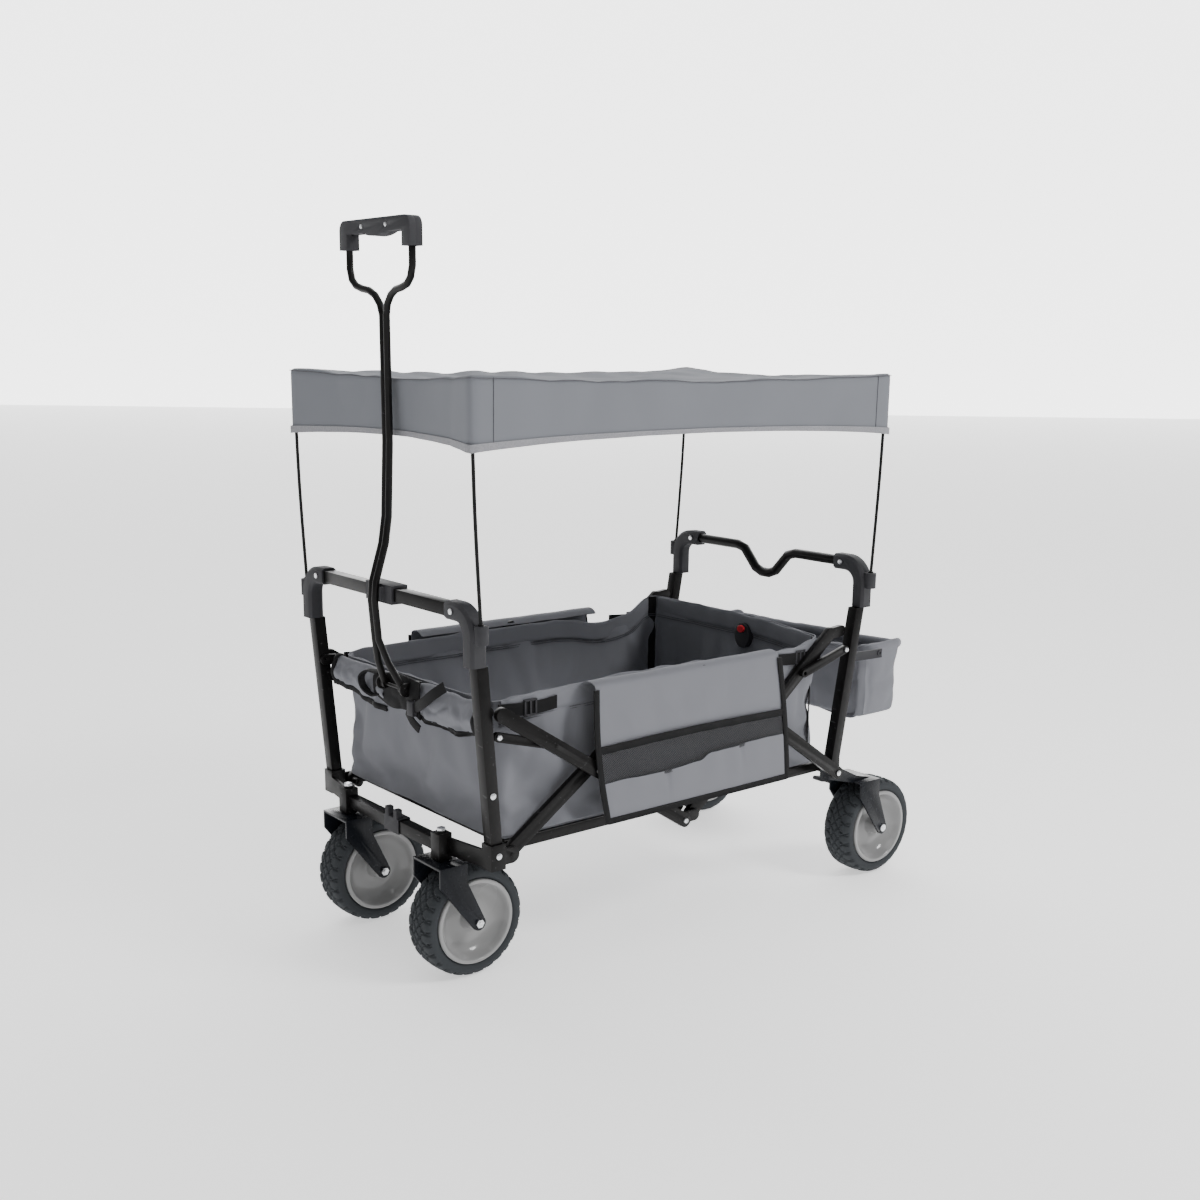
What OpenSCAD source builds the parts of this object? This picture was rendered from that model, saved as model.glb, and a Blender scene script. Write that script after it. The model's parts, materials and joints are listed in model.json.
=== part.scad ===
// Folding pull wagon: two steel end frames joined by a pair of scissor arms on
// each side and a floor that hinges up in the middle. Front casters swivel, the
// rear wheels are fixed, and a fabric basket, rear bag and sun canopy hang on
// the frame. Front is -X, the right-hand side is -Y, +Z is up, and the origin
// is on the ground under the middle of the wheelbase.

/* [Overall] */
// Distance between the front and rear wheel axles
wheelbase = 938; // [840:1:1150]
// Distance between the centre lines of the left and right posts
post_spacing = 528; // [480:1:640]
// Height of the post tops above the floor hinge pins
post_rise = 380; // [330:1:460]
// Height of the canopy roof above the post tops
canopy_rise = 400; // [320:1:480]

/* [Wheels] */
// Outer radius of a tyre
tyre_r = 100; // [84:1:120]
// Width of a tyre
tyre_w = 68; // [57:1:72]
// Radius where the tyre sits on its rim
rim_r = 73; // [62:1:78]
// Distance between the front wheel centres
front_track = 312; // [270:1:340]
// Distance of a rear wheel centre inside the post centre line
rear_wheel_inset = 13; // [8:1:20]
// Radius of a wheel axle bolt
axle_r = 4; // [3:0.5:5]

/* [Casters] */
// Distance of the swivel axis ahead of the front wheel axle
caster_trail = 47; // [40:1:52]
// Thickness of the pressed steel fork plates
fork_t = 4; // [3:0.5:5]
// Radius of a caster's swivel pin
stem_r = 6; // [5:0.5:8]

/* [Frame] */
// Side of the square post tube
post_w = 22; // [19:1:24]
// Wall of the steel tubes
tube_wall = 1.5; // [1.2:0.1:2.5]
// Height of the floor hinge pins above the top of the tyres
deck_lift = 40; // [36:1:60]
// Distance of the front floor pins behind the front axle
front_pin_set = 18; // [16:1:24]
// Distance of the rear floor pins ahead of the rear axle
rear_pin_set = 135; // [125:1:150]
// How far the front posts lean forward over their height
front_lean = 36; // [28:1:44]
// How far the rear posts lean back over their height
rear_lean = 70; // [58:1:80]
// Radius of a frame pivot pin
pin_r = 4; // [3:0.5:4.5]
// Depth of the dip in the push bar
bar_dip = 50; // [40:1:58]

/* [Folding arms] */
// Height of an arm tube
arm_h = 25; // [20:1:28]
// Thickness of an arm tube
arm_t = 10; // [8:0.5:10.5]
// Distance between the two pins of a centre hub
hub_gap = 36; // [34:1:44]
// Height of the top hubs above the floor pins
hub_rise = 257; // [240:1:270]
// Depth of the bottom hubs below the floor pins
hub_drop = 14; // [10:1:18]
// Distance along a front lower arm from its foot pin to the crossing pin
cross_front = 207; // [195:1:220]
// Distance along a rear lower arm from its foot pin to the crossing pin
cross_rear = 235; // [225:1:245]
// Angle that each half of the floor lifts through when folded
fold_deg = 80; // [70:1:82]

/* [Pull handle] */
// Diameter of the handle rod
handle_d = 12; // [10:0.5:13]
// Distance from the handle pivot up to the top of the grip
handle_len = 777; // [720:1:860]
// Distance between the two upright sides of the handle loop
loop_w = 196; // [170:1:220]
// Thickness of the grip
grip_t = 24; // [20:1:26]

/* [Basket] */
// Thickness of the padded fabric walls
cloth_t = 3; // [2:0.5:4]
// Height of the basket rim above the floor pins
rim_rise = 262; // [230:1:275]
// Distance of the basket's back wall ahead of the rear floor pins
basket_end = 25; // [15:1:30]

/* [Rear bag] */
// Length of the rear bag along the wagon
bag_len = 122; // [100:1:122]
// Height of the rear bag
bag_h = 158; // [130:1:180]
// Distance of the bag's front wall ahead of the rear axle
bag_set = 24; // [16:1:28]

/* [Canopy] */
// Depth of the canopy skirt
skirt_h = 118; // [90:1:140]
// Diameter of a canopy rod
rod_d = 6; // [5:0.5:8]
// How far the parked handle presses the front skirt in at its middle
skirt_dent = 44; // [40:1:56]

/* [Hidden] */
$fn = 48;

// running clearance of a pin in its hole, and side gap between moving layers
run = 0.05;
gap = 1;
// the link bolts stop this far short of the links, where the closed linkage is opened
open_gap = 0.4;
// clearance between fabric and the frame beside it
cloth_gap = 1.5;
// how far the flats of a round-ended bar lie inside its ends, so that they cross cleanly
flat_set = 0.03;

// side layers, counted outwards from the middle of the wagon
post_y = post_spacing / 2;
post_in = post_y - post_w / 2;
post_out = post_y + post_w / 2;
inner_arm_y = post_in - 0.5;
outer_arm_y = post_out + 0.5;
mid_t = 8;
mid_y = (inner_arm_y + arm_t + outer_arm_y - mid_t) / 2;
floor_out = inner_arm_y - 2.5;
rail_w = 20;
floor_in = floor_out - rail_w;
wall_out = inner_arm_y - cloth_gap - 1;
pocket_y = outer_arm_y + arm_t + cloth_gap + 1;
rod_y = post_out + 8.5;
socket_r = 11.5;

// lengthwise stations
front_x = -wheelbase / 2;
rear_x = wheelbase / 2;
pin_front = [front_x + front_pin_set, 2 * tyre_r + deck_lift];
pin_rear = [rear_x - rear_pin_set, pin_front[1]];
deck_z = pin_front[1];
mid_x = (pin_front[0] + pin_rear[0]) / 2;
half_deck = (pin_rear[0] - pin_front[0]) / 2;
post_foot_z = deck_z + 8;
post_top_z = deck_z + post_rise;
bar_z = post_top_z + 30;
front_foot_x = front_x - 14;
rear_foot_x = pin_rear[0] - 2;
function front_post_x(z) = front_foot_x - front_lean * (z - deck_z) / (post_rise + 30);
function rear_post_x(z) = rear_foot_x + rear_lean * (z - deck_z) / (post_rise + 30);
front_lean_deg = atan(front_lean / (post_rise + 30));
rear_lean_deg = atan(rear_lean / (post_rise + 30));
canopy_top = post_top_z + canopy_rise;
canopy_front = front_x - 75;
canopy_back = rear_x - 36;

// scissor arm geometry, in the XZ plane
top_hub = [mid_x, deck_z + hub_rise];
bottom_hub = [mid_x, deck_z - hub_drop];
function dir2(p, q) = (q - p) / norm(q - p);
function folded_x(reach) = reach * cos(fold_deg) - hub_gap / 2;
top_front = top_hub - [hub_gap / 2, 0];
top_rear = top_hub + [hub_gap / 2, 0];
low_front = bottom_hub - [hub_gap / 2, 0];
low_rear = bottom_hub + [hub_gap / 2, 0];
cross_f = pin_front + cross_front * dir2(pin_front, top_front);
cross_r = pin_rear + cross_rear * dir2(pin_rear, top_rear);
up_f = dir2(low_front, cross_f);
up_r = dir2(low_rear, cross_r);
lower_len = norm(top_front - pin_front);
fold_x = folded_x(half_deck);
lower_fold = acos(fold_x / lower_len);
upper_len_f = norm(cross_f - low_front);
upper_len_r = norm(cross_r - low_rear);
// distance of a link's post pin from the post face
link_set = 10.5;
// the link bolt's place on an upper arm makes the link equally long open and folded
link_post_f = [front_post_x(deck_z + 206) + post_w / 2 + link_set, deck_z + 206];
link_post_r = [rear_post_x(deck_z + 246) - post_w / 2 - link_set, deck_z + 246];
function folded_cross(cross) = [cross * cos(lower_fold), cross * sin(lower_fold)];
function upper_fold(cross, len) = acos((fold_x - folded_cross(cross)[0]) / len);
function bolt_reach(q, p, d, pf, df) = ((p - q) * (p - q) - (pf - q) * (pf - q))
    / (2 * ((pf - q) * df - (p - q) * d));
fold_up_f = upper_fold(cross_front, upper_len_f);
fold_up_r = upper_fold(cross_rear, upper_len_r);
folded_cf = pin_front + folded_cross(cross_front);
folded_cr = pin_rear + [-folded_cross(cross_rear)[0], folded_cross(cross_rear)[1]];
reach_f = bolt_reach(link_post_f, cross_f, up_f, folded_cf, [-cos(fold_up_f), sin(fold_up_f)]);
reach_r = bolt_reach(link_post_r, cross_r, up_r, folded_cr, [cos(fold_up_r), sin(fold_up_r)]);
link_bolt_f = cross_f + reach_f * up_f;
link_bolt_r = cross_r + reach_r * up_r;
// the upper arms stop short of the posts
arm_end_f = cross_f + up_f * ((front_post_x(deck_z + 252) + post_w / 2 + arm_h / 2 + 3
    - cross_f[0]) / up_f[0]);
arm_end_r = cross_r + up_r * ((rear_post_x(deck_z + 275) - post_w / 2 - 48 - cross_r[0]) / up_r[0]);

// colours
black = "#1b1c20";
steel = "#b9bdc2";
grey_cloth = "#74767d";
dark_cloth = "#1d1d20";
tyre_black = "#232428";
rim_grey = "#b4b4b2";

// ---------------------------------------------------------------- helpers

// Puts one copy of the children on each side of the wagon
module both_sides() {
    for (s = [0, 1]) mirror([0, s, 0]) children();
}

// Turns a shape drawn in XY into the XZ plane, from y0 outwards by t
module in_side(y0, t) {
    translate([0, y0 + t, 0]) rotate([90, 0, 0]) linear_extrude(t) children();
}

// Flat bar with round ends between two points of the XZ plane
module link_shape(p, q, h) {
    a = atan2(q[1] - p[1], q[0] - p[0]);
    translate(p) circle(d = h);
    translate(q) circle(d = h);
    translate(p) rotate(a) translate([0, flat_set - h / 2]) square([norm(q - p), h - 2 * flat_set]);
}

// Round bar between two points in space
module bar(p, q, r) {
    v = q - p;
    translate(p) rotate([0, acos(v[2] / norm(v)), atan2(v[1], v[0])]) cylinder(h = norm(v), r = r);
}

// Round tube swept along a list of points that never runs along X
function sweep_dir(p, i) = dir2(p[max(i - 1, 0)], p[min(i + 1, len(p) - 1)]);
function unit(v) = v / norm(v);
function ring(p, i, r, sides) =
    let (t = sweep_dir(p, i), n = unit(cross(t, [1, 0, 0])), m = cross(t, n))
    [for (k = [0 : sides - 1]) p[i] + r * (cos(360 * k / sides) * n + sin(360 * k / sides) * m)];
module bent_bar(points, r, sides = 20) {
    n = len(points);
    rings = [for (i = [0 : n - 1]) each ring(points, i, r, sides)];
    walls = [for (i = [0 : n - 2], k = [0 : sides - 1])
        let (a = i * sides + k, b = i * sides + (k + 1) % sides)
        each [[b, a, b + sides], [b + sides, a, a + sides]]];
    ends = [[for (k = [0 : sides - 1]) k], [for (k = [sides - 1 : -1 : 0]) (n - 1) * sides + k]];
    polyhedron(rings, concat(walls, ends), convexity = 6);
}

// Pin along Y through a point of the XZ plane
module cross_pin(p, y0, y1, r) {
    translate([p[0], y1, p[1]]) rotate([90, 0, 0]) cylinder(h = y1 - y0, r = r);
}

// Rectangle with round corners, centred
module round_rect(w, h, r) {
    square([w - 2 * r, h], center = true);
    square([w, h - 2 * r], center = true);
    for (x = [-1, 1], y = [-1, 1]) translate([x * (w / 2 - r), y * (h / 2 - r)]) circle(r = r);
}

// Square with cut corners, centred
module cut_square(w, c) {
    s = w / 2;
    polygon([[s - c, -s], [s, c - s], [s, s - c], [s - c, s], [c - s, s], [-s, s - c], [-s, c - s],
        [c - s, -s]]);
}

// Hollow arm tube with closed round ends, pierced at the given points
module arm(p, q, y0, holes, hole_r) {
    a = atan2(q[1] - p[1], q[0] - p[0]);
    difference() {
        in_side(y0, arm_t) link_shape(p, q, arm_h);
        translate([p[0], y0 + tube_wall, p[1]]) rotate([0, -a, 0])
            translate([arm_h, 0, tube_wall - arm_h / 2])
            cube([norm(q - p) - 2 * arm_h, arm_t - 2 * tube_wall, arm_h - 2 * tube_wall]);
        for (h = holes) cross_pin(h, y0 - 1, y0 + arm_t + 1, hole_r);
    }
}

// Solid wall around a pin hole inside a hollow arm
module arm_boss(h, y0, hole_r) {
    difference() {
        cross_pin(h, y0, y0 + arm_t, hole_r + 3);
        cross_pin(h, y0 - 1, y0 + arm_t + 1, hole_r);
    }
}

// Domed screw head facing outwards from a side layer
module side_screw(p, y0) {
    translate([p[0], y0, p[1]]) rotate([-90, 0, 0]) {
        cylinder(h = 1.2, r = 5.5);
        translate([0, 0, 1.2]) cylinder(h = 1, r1 = 5, r2 = 3.2);
    }
}

// ---------------------------------------------------------------- end frames

// Leaning square post between two heights, as a hollow tube; side +1 only
module post(lean_sign, foot_x, lean_deg) {
    len = (post_top_z - post_foot_z) / cos(lean_deg);
    translate([foot_x, post_y, post_foot_z]) rotate([0, lean_sign * lean_deg, 0])
        difference() {
            translate([-post_w / 2, -post_w / 2, 0]) cube([post_w, post_w, len]);
            translate([tube_wall - post_w / 2, tube_wall - post_w / 2, 12])
                cube([post_w - 2 * tube_wall, post_w - 2 * tube_wall, len]);
        }
}

// Arched corner joint: sleeve on the post, quarter bend, sleeve on the bar, rod socket
sleeve_w = post_w + 8;
bend_r = 38;
bar_end_y = post_y - bend_r;
sleeve_drop = 46;
socket_h = 30;
module corner_joint(x_top, x_rod_top, bar_r, square_bar) {
    lean = atan((x_rod_top - x_top) / (canopy_top - post_top_z));
    difference() {
        union() {
            translate([x_top, bar_end_y, bar_z - bend_r]) rotate([90, 0, 90])
                rotate_extrude(angle = 90) translate([bend_r, 0]) cut_square(sleeve_w, 5);
            translate([x_top, post_y, bar_z - bend_r - sleeve_drop])
                linear_extrude(sleeve_drop) cut_square(sleeve_w, 5);
            translate([x_top, bar_end_y, bar_z]) rotate([90, 0, 0])
                linear_extrude(26) cut_square(sleeve_w, 5);
            translate([x_top, rod_y, post_top_z - socket_h / 2]) cylinder(h = socket_h, r = socket_r);
        }
        bar([x_top, rod_y, post_top_z - 5], [x_rod_top, rod_y - 2, canopy_top], rod_d / 2);
        if (square_bar) {
            translate([x_top, bar_end_y - 13, bar_z]) rotate([90, 0, 0])
                linear_extrude(20) square(post_w, center = true);
        } else {
            translate([x_top, bar_end_y - 6, bar_z]) rotate([90, 0, 0]) cylinder(h = 30, r = bar_r);
        }
    }
}

front_top_x = front_post_x(bar_z);
rear_top_x = rear_post_x(bar_z);
push_r = 10;
front_bar_end = bar_end_y - 13;
push_bar_end = bar_end_y - 6;

module front_posts() {
    color(black) both_sides() difference() {
        post(-1, front_post_x(post_foot_z), front_lean_deg);
        translate([front_post_x(bar_z) - 40, 0, bar_z - bend_r - sleeve_drop]) cube([80, 400, 200]);
    }
}

module rear_posts() {
    color(black) both_sides() difference() {
        post(1, rear_post_x(post_foot_z), rear_lean_deg);
        translate([rear_post_x(bar_z) - 80, 0, bar_z - bend_r - sleeve_drop]) cube([160, 400, 200]);
    }
}

module front_corner_joints() {
    color(black) both_sides() corner_joint(front_top_x, canopy_front + 10, 0, true);
}

module rear_corner_joints() {
    color(black) both_sides() corner_joint(rear_top_x, canopy_back - 10, push_r, false);
}

module front_top_bar() {
    color(black) difference() {
        translate([front_top_x - post_w / 2, -front_bar_end, bar_z - post_w / 2])
            cube([post_w, 2 * front_bar_end, post_w]);
        translate([front_top_x - post_w / 2 + tube_wall, -front_bar_end - 1,
            bar_z - post_w / 2 + tube_wall])
            cube([post_w - 2 * tube_wall, 2 * front_bar_end + 2, post_w - 2 * tube_wall]);
    }
}

// Push bar with a hand grip dip in its middle
module push_bar() {
    w = 84;
    pts = [for (p = [[-push_bar_end, 0], [-w, 0], [-0.75 * w, -0.12], [-0.34 * w, -0.86],
            [-0.12 * w, -1], [0.12 * w, -1], [0.34 * w, -0.86], [0.75 * w, -0.12], [w, 0],
            [push_bar_end, 0]])
        [rear_top_x, p[0], bar_z + p[1] * bar_dip]];
    color(black) bent_bar(pts, push_r);
}

// Saddle on the front bar that the pull handle clips into
clip_w = 84;
module bar_clip() {
    t = 5;
    h = post_w + 2 * t;
    color(black) translate([front_top_x, 0, bar_z]) difference() {
        union() {
            translate([-post_w / 2 - t, -clip_w / 2, -h / 2]) cube([post_w + 2 * t, clip_w, h]);
            for (s = [-1, 1]) translate([-post_w / 2 - t - 8, s * (handle_d + 5) - 2.5, -12])
                cube([10, 5, 24]);
        }
        translate([-post_w / 2, -clip_w, -post_w / 2]) cube([post_w, 2 * clip_w, post_w]);
    }
}

// Cross bar behind the posts that carries the foot of the pull handle
mid_bar_z = deck_z + 243;
mid_bar_x = front_post_x(mid_bar_z) + post_w / 2 + 11;
mid_bar_r = 7;
plate_t = 4;
module front_mid_bar() {
    y1 = post_in - plate_t;
    color(black) {
        cross_pin([mid_bar_x, mid_bar_z], -y1, y1, mid_bar_r);
        both_sides() difference() {
            in_side(y1, plate_t) link_shape([front_post_x(mid_bar_z), mid_bar_z + 2],
                [mid_bar_x - 2, mid_bar_z], 20);
            cross_pin([front_post_x(mid_bar_z), mid_bar_z + 2], y1 - 1, post_in + 1, 2.5);
        }
    }
}

// Clevis on the cross bar, with the pin that the handle turns on
pivot = [mid_bar_x - 26, mid_bar_z];
leg_y = 30;
handle_pin_r = 3;
ear_h = 24;
module handle_bracket() {
    ear = 4;
    ear_y = leg_y + handle_d / 2 + gap;
    color(black) {
        both_sides() difference() {
            in_side(ear_y, ear) link_shape(pivot, [mid_bar_x, mid_bar_z], ear_h);
            cross_pin([mid_bar_x, mid_bar_z], ear_y - 1, ear_y + ear + 1, mid_bar_r);
        }
        difference() {
            cross_pin([mid_bar_x, mid_bar_z], -ear_y - 1, ear_y + 1, mid_bar_r + 4);
            cross_pin([mid_bar_x, mid_bar_z], -ear_y - 2, ear_y + 2, mid_bar_r);
        }
        cross_pin(pivot, -ear_y - ear - 3, ear_y + ear + 3, handle_pin_r);
    }
}

// ---------------------------------------------------------------- front feet

stem_x = front_x - caster_trail;
stem_y = front_track / 2;
crown_top = 2 * tyre_r + 13;
house_w = 26;
axle_tube_h = 22;
axle_tube_x = stem_x + 4;
axle_tube_z = deck_z - 3;
module front_axle_tube() {
    y1 = stem_y - house_w / 2;
    color(black) difference() {
        translate([axle_tube_x - 10, -y1, axle_tube_z - axle_tube_h / 2])
            cube([20, 2 * y1, axle_tube_h]);
        translate([axle_tube_x - 10 + tube_wall, -y1 - 1, axle_tube_z - axle_tube_h / 2 + tube_wall])
            cube([20 - 2 * tube_wall, 2 * y1 + 2, axle_tube_h - 2 * tube_wall]);
    }
}

// Two-eared clip that locks the folded floor to the axle tube
module axle_clip() {
    t = 3;
    color(black) translate([axle_tube_x, -8, axle_tube_z]) {
        difference() {
            translate([-10 - t, -24, -axle_tube_h / 2 - t])
                cube([20 + 2 * t, 48, axle_tube_h + 2 * t]);
            translate([-10, -25, -axle_tube_h / 2]) cube([20, 50, axle_tube_h]);
        }
        for (y = [-20, 8]) translate([-10 - t, y, axle_tube_h / 2 + t]) cube([12, 12, 16]);
    }
}

// Upright housings for the caster swivel pins
house_z = crown_top + 1.5;
house_h = deck_z + 22 - house_z;
module caster_housings() {
    color(black) for (s = [-1, 1]) translate([stem_x, s * stem_y, house_z]) difference() {
        union() {
            translate([-house_w / 2, -house_w / 2, 0]) cube([house_w, house_w, house_h]);
            translate([0, 0, house_h]) cylinder(h = 3, r = 9);
        }
        translate([0, 0, -1]) cylinder(h = house_h + 5, r = stem_r + run);
    }
}

// Castings at the post feet: a socket for the post, an ear for the floor pin and
// a flat arm inwards to the caster housing
foot_t = 4;
ear_y = mid_y + 1;
module front_foot_brackets() {
    x0 = front_post_x(post_foot_z);
    y0 = post_in - 3;
    color(black) both_sides() {
        difference() {
            union() {
                translate([x0 - post_w / 2 - foot_t, y0, deck_z - 18])
                    cube([post_w + 2 * foot_t - 1, post_w + 6, 44]);
                in_side(ear_y, 5) link_shape([x0, deck_z], pin_front, 28);
                hull() {
                    translate([x0 - post_w / 2 - foot_t, y0 - 1, deck_z - 16]) cube([6, 2, 30]);
                    translate([stem_x + house_w / 2 - 8, stem_y + house_w / 2, deck_z - 16])
                        cube([6, 2, 30]);
                }
            }
            translate([x0, post_y, post_foot_z]) rotate([0, -front_lean_deg, 0])
                translate([-post_w / 2, -post_w / 2, 0]) cube([post_w, post_w, 60]);
        }
        cross_pin(pin_front, floor_in - 3, ear_y + 6, pin_r);
    }
}

module front_screws() {
    head_x = front_top_x - sleeve_w / 2;
    color(steel) both_sides() {
        translate([head_x, bar_end_y - 6, bar_z]) rotate([0, -90, 0]) cylinder(h = 2, r = 5);
        side_screw([front_post_x(deck_z + 110), deck_z + 110], post_out);
        side_screw([front_post_x(deck_z + 4), deck_z + 6], post_out + 3);
        translate([stem_x, stem_y, house_z + house_h + 3]) cylinder(h = 5, r = 8, $fn = 6);
    }
}

// Crown and tapered side plates of a wheel fork; x runs from front to back
module fork_plate(x0, x1, z_top, axle, y0, hole_r) {
    r = 13;
    w = 0.75 * r;
    difference() {
        in_side(y0, fork_t) {
            polygon([[x0, z_top], [x1, z_top], [x1, z_top - 34], [axle[0] + w, axle[1] + w],
                [axle[0] - w, axle[1] - w], [x0, z_top - 34]]);
            translate(axle) circle(r = r);
        }
        cross_pin(axle, y0 - 1, y0 + fork_t + 1, hole_r);
    }
}

caster_axle = [front_x, tyre_r];
fork_in = tyre_w / 2 + 5;
module caster_fork(s) {
    x0 = stem_x - 30;
    x1 = stem_x + 24;
    color(black) translate([0, s * stem_y, 0]) {
        both_sides() fork_plate(x0, x1, crown_top, caster_axle, fork_in, axle_r);
        translate([x0, -fork_in - 1, crown_top - fork_t]) cube([x1 - x0, 2 * fork_in + 2, fork_t]);
        translate([stem_x, 0, crown_top - fork_t]) cylinder(h = house_h + 8, r = stem_r);
        translate([stem_x, 0, crown_top]) cylinder(h = 1.3, r = 11);
    }
}

// Axle bolt with a round head on one end and a nut on the other
module axle_bolt(axle, y_in, y_out) {
    cross_pin(axle, y_in - 5, y_out + 1, axle_r);
    cross_pin(axle, y_out, y_out + 3, 7.5);
    translate([axle[0], y_in, axle[1]]) rotate([90, 0, 0]) cylinder(h = 4, r = 8, $fn = 6);
}

module caster_axle_bolt(s) {
    color(steel) translate([0, s * stem_y, 0])
        axle_bolt(caster_axle, -fork_in - fork_t, fork_in + fork_t);
}

// Tyre with a crowned tread and rounded shoulders, axis along Y
module tyre(x, y) {
    b = tyre_w / 2 - 8;
    color(tyre_black) translate([x, y, tyre_r]) rotate([90, 0, 0]) rotate_extrude($fn = 96)
        difference() {
            union() {
                translate([rim_r, -tyre_w / 2]) square([tyre_r - rim_r - 12, tyre_w]);
                translate([rim_r, 10 - tyre_w / 2]) square([tyre_r - rim_r - 2, tyre_w - 20]);
                translate([rim_r, 20 - tyre_w / 2]) square([tyre_r - rim_r, tyre_w - 40]);
                for (s = [-1, 1]) translate([tyre_r - 12, s * (tyre_w / 2 - 10)]) circle(r = 10);
            }
            translate([rim_r - 1, -b]) square([5, 2 * b]);
        }
}

// Deep dished wheel rim with a plain hub running on the axle bolt
module rim(x, y) {
    b = tyre_w / 2 - 8;
    color(rim_grey) translate([x, y, tyre_r]) rotate([90, 0, 0]) rotate_extrude($fn = 96) {
        difference() {
            union() {
                translate([rim_r - 5, -tyre_w / 2]) square([5, tyre_w]);
                translate([rim_r - 2, -b]) square([6, 2 * b]);
                translate([axle_r + run, -fork_in + 1]) square([13, 2 * fork_in - 2]);
                polygon([[16, -6], [rim_r - 2, -12], [rim_r - 2, 12], [16, 6]]);
            }
            translate([rim_r * 0.6, tyre_w * 0.52]) circle(r = tyre_w * 0.4);
            translate([rim_r * 0.6, -tyre_w * 0.52]) circle(r = tyre_w * 0.4);
        }
    }
}

// ---------------------------------------------------------------- rear frame

rear_wheel_y = post_y - rear_wheel_inset;
rear_axle = [rear_x, tyre_r];
carrier_crown = 2 * tyre_r + 9;
crown_x0 = rear_x - 72;
crown_x1 = rear_x - 16;
module wheel_carriers() {
    y_in = rear_wheel_y - fork_in - fork_t;
    y_out = rear_wheel_y + fork_in;
    foot_x = rear_post_x(post_foot_z);
    y0 = post_in - 2;
    block_w = outer_arm_y - gap - y0;
    color(black) both_sides() {
        difference() {
            union() {
                translate([foot_x - post_w / 2 - foot_t, y0, deck_z - 16])
                    cube([post_w + 2 * foot_t, block_w, 42]);
                in_side(y0, block_w) polygon([[foot_x, deck_z + 14], [crown_x0 + 6, carrier_crown + 10],
                    [crown_x1 - 8, carrier_crown], [crown_x0, carrier_crown - fork_t],
                    [foot_x - 8, deck_z - 16]]);
            }
            translate([foot_x, post_y, post_foot_z]) rotate([0, rear_lean_deg, 0])
                translate([-post_w / 2, -post_w / 2, 0]) cube([post_w, post_w, 60]);
        }
        translate([crown_x0, y_in + 1, carrier_crown - fork_t])
            cube([crown_x1 - crown_x0, y_out + fork_t - y_in - 2, fork_t]);
        for (y = [y_in, y_out]) fork_plate(crown_x0, crown_x1, carrier_crown, rear_axle, y, axle_r);
        cross_pin(pin_rear, floor_in - 3, outer_arm_y + arm_t + 1, pin_r);
        cross_pin([pedal_x, pedal_z], y_in - 26, y_in + 1, pin_r);
    }
}

module rear_axles() {
    color(steel) both_sides() translate([0, rear_wheel_y, 0])
        axle_bolt(rear_axle, -fork_in - fork_t, fork_in + fork_t);
}

// Foot pedal of a parking brake on the inside of each rear fork
pedal_x = rear_x - 62;
pedal_z = 2 * tyre_r - 8;
module brake_pedal(s) {
    y1 = rear_wheel_y - fork_in - fork_t - 1;
    color(black) scale([1, s, 1]) difference() {
        union() {
            in_side(y1 - 24, 24) link_shape([pedal_x, pedal_z], [pedal_x - 30, pedal_z + 6], 8);
            cross_pin([pedal_x, pedal_z], y1 - 24, y1, pin_r + 4);
        }
        cross_pin([pedal_x, pedal_z], y1 - 25, y1 + 1, pin_r + run);
    }
}

module rear_screws() {
    head_x = rear_top_x - sleeve_w / 2;
    color(steel) both_sides() {
        translate([head_x, bar_end_y - 8, bar_z]) rotate([0, -90, 0]) cylinder(h = 2, r = 5);
        side_screw(pin_rear, outer_arm_y + arm_t + 1);
    }
}

// ---------------------------------------------------------------- canopy

module canopy_rods(x_foot, x_top) {
    both_sides() {
        bar([x_foot, rod_y, post_top_z - 5], [x_top, rod_y - 2, canopy_top - 6], rod_d / 2);
    }
}

module front_canopy_rods() {
    color(black) canopy_rods(front_top_x, canopy_front + 10);
}

module rear_canopy_rods() {
    color(black) canopy_rods(rear_top_x, canopy_back - 10);
}

// Plan of the sun cover, shrunk by inset: the parked handle presses its front edge in
module canopy_plan(inset) {
    w = 2 * (rod_y + rod_d / 2 + 1 + cloth_t - inset);
    l = canopy_back - canopy_front - 2 * inset;
    dent_r = (pow(rod_y - 40, 2) + pow(skirt_dent, 2)) / (2 * skirt_dent);
    difference() {
        translate([(canopy_front + canopy_back) / 2, 0]) round_rect(l, w, 12 - inset);
        translate([canopy_front + skirt_dent - dent_r, 0]) circle(r = dent_r + inset, $fn = 96);
    }
}

// Box-shaped sun cover, open below
module canopy_cover() {
    color(grey_cloth) translate([0, 0, canopy_top - skirt_h]) difference() {
        linear_extrude(skirt_h) canopy_plan(0);
        translate([0, 0, -1]) linear_extrude(skirt_h - cloth_t + 1) canopy_plan(cloth_t);
    }
}

// ---------------------------------------------------------------- fabric basket

basket_z = deck_z + 24;
rim_z = deck_z + rim_rise;
basket_x0 = mid_bar_x + ear_h / 2 + 0.8;
basket_x1 = pin_rear[0] - basket_end;
module basket_front_panel() {
    color(grey_cloth) translate([basket_x0, -wall_out, basket_z]) cube([4, 2 * wall_out, rim_z - basket_z]);
}

// Side walls and back wall, one piece of padded cloth
module basket_shell() {
    x0 = basket_x0 + 4.3;
    color(grey_cloth) difference() {
        translate([x0, -wall_out, basket_z]) cube([basket_x1 - x0, 2 * wall_out, rim_z - basket_z]);
        translate([x0 - 1, cloth_t - wall_out, basket_z - 1])
            cube([basket_x1 - x0 + 1 - cloth_t, 2 * (wall_out - cloth_t), rim_z - basket_z + 2]);
    }
}

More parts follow.
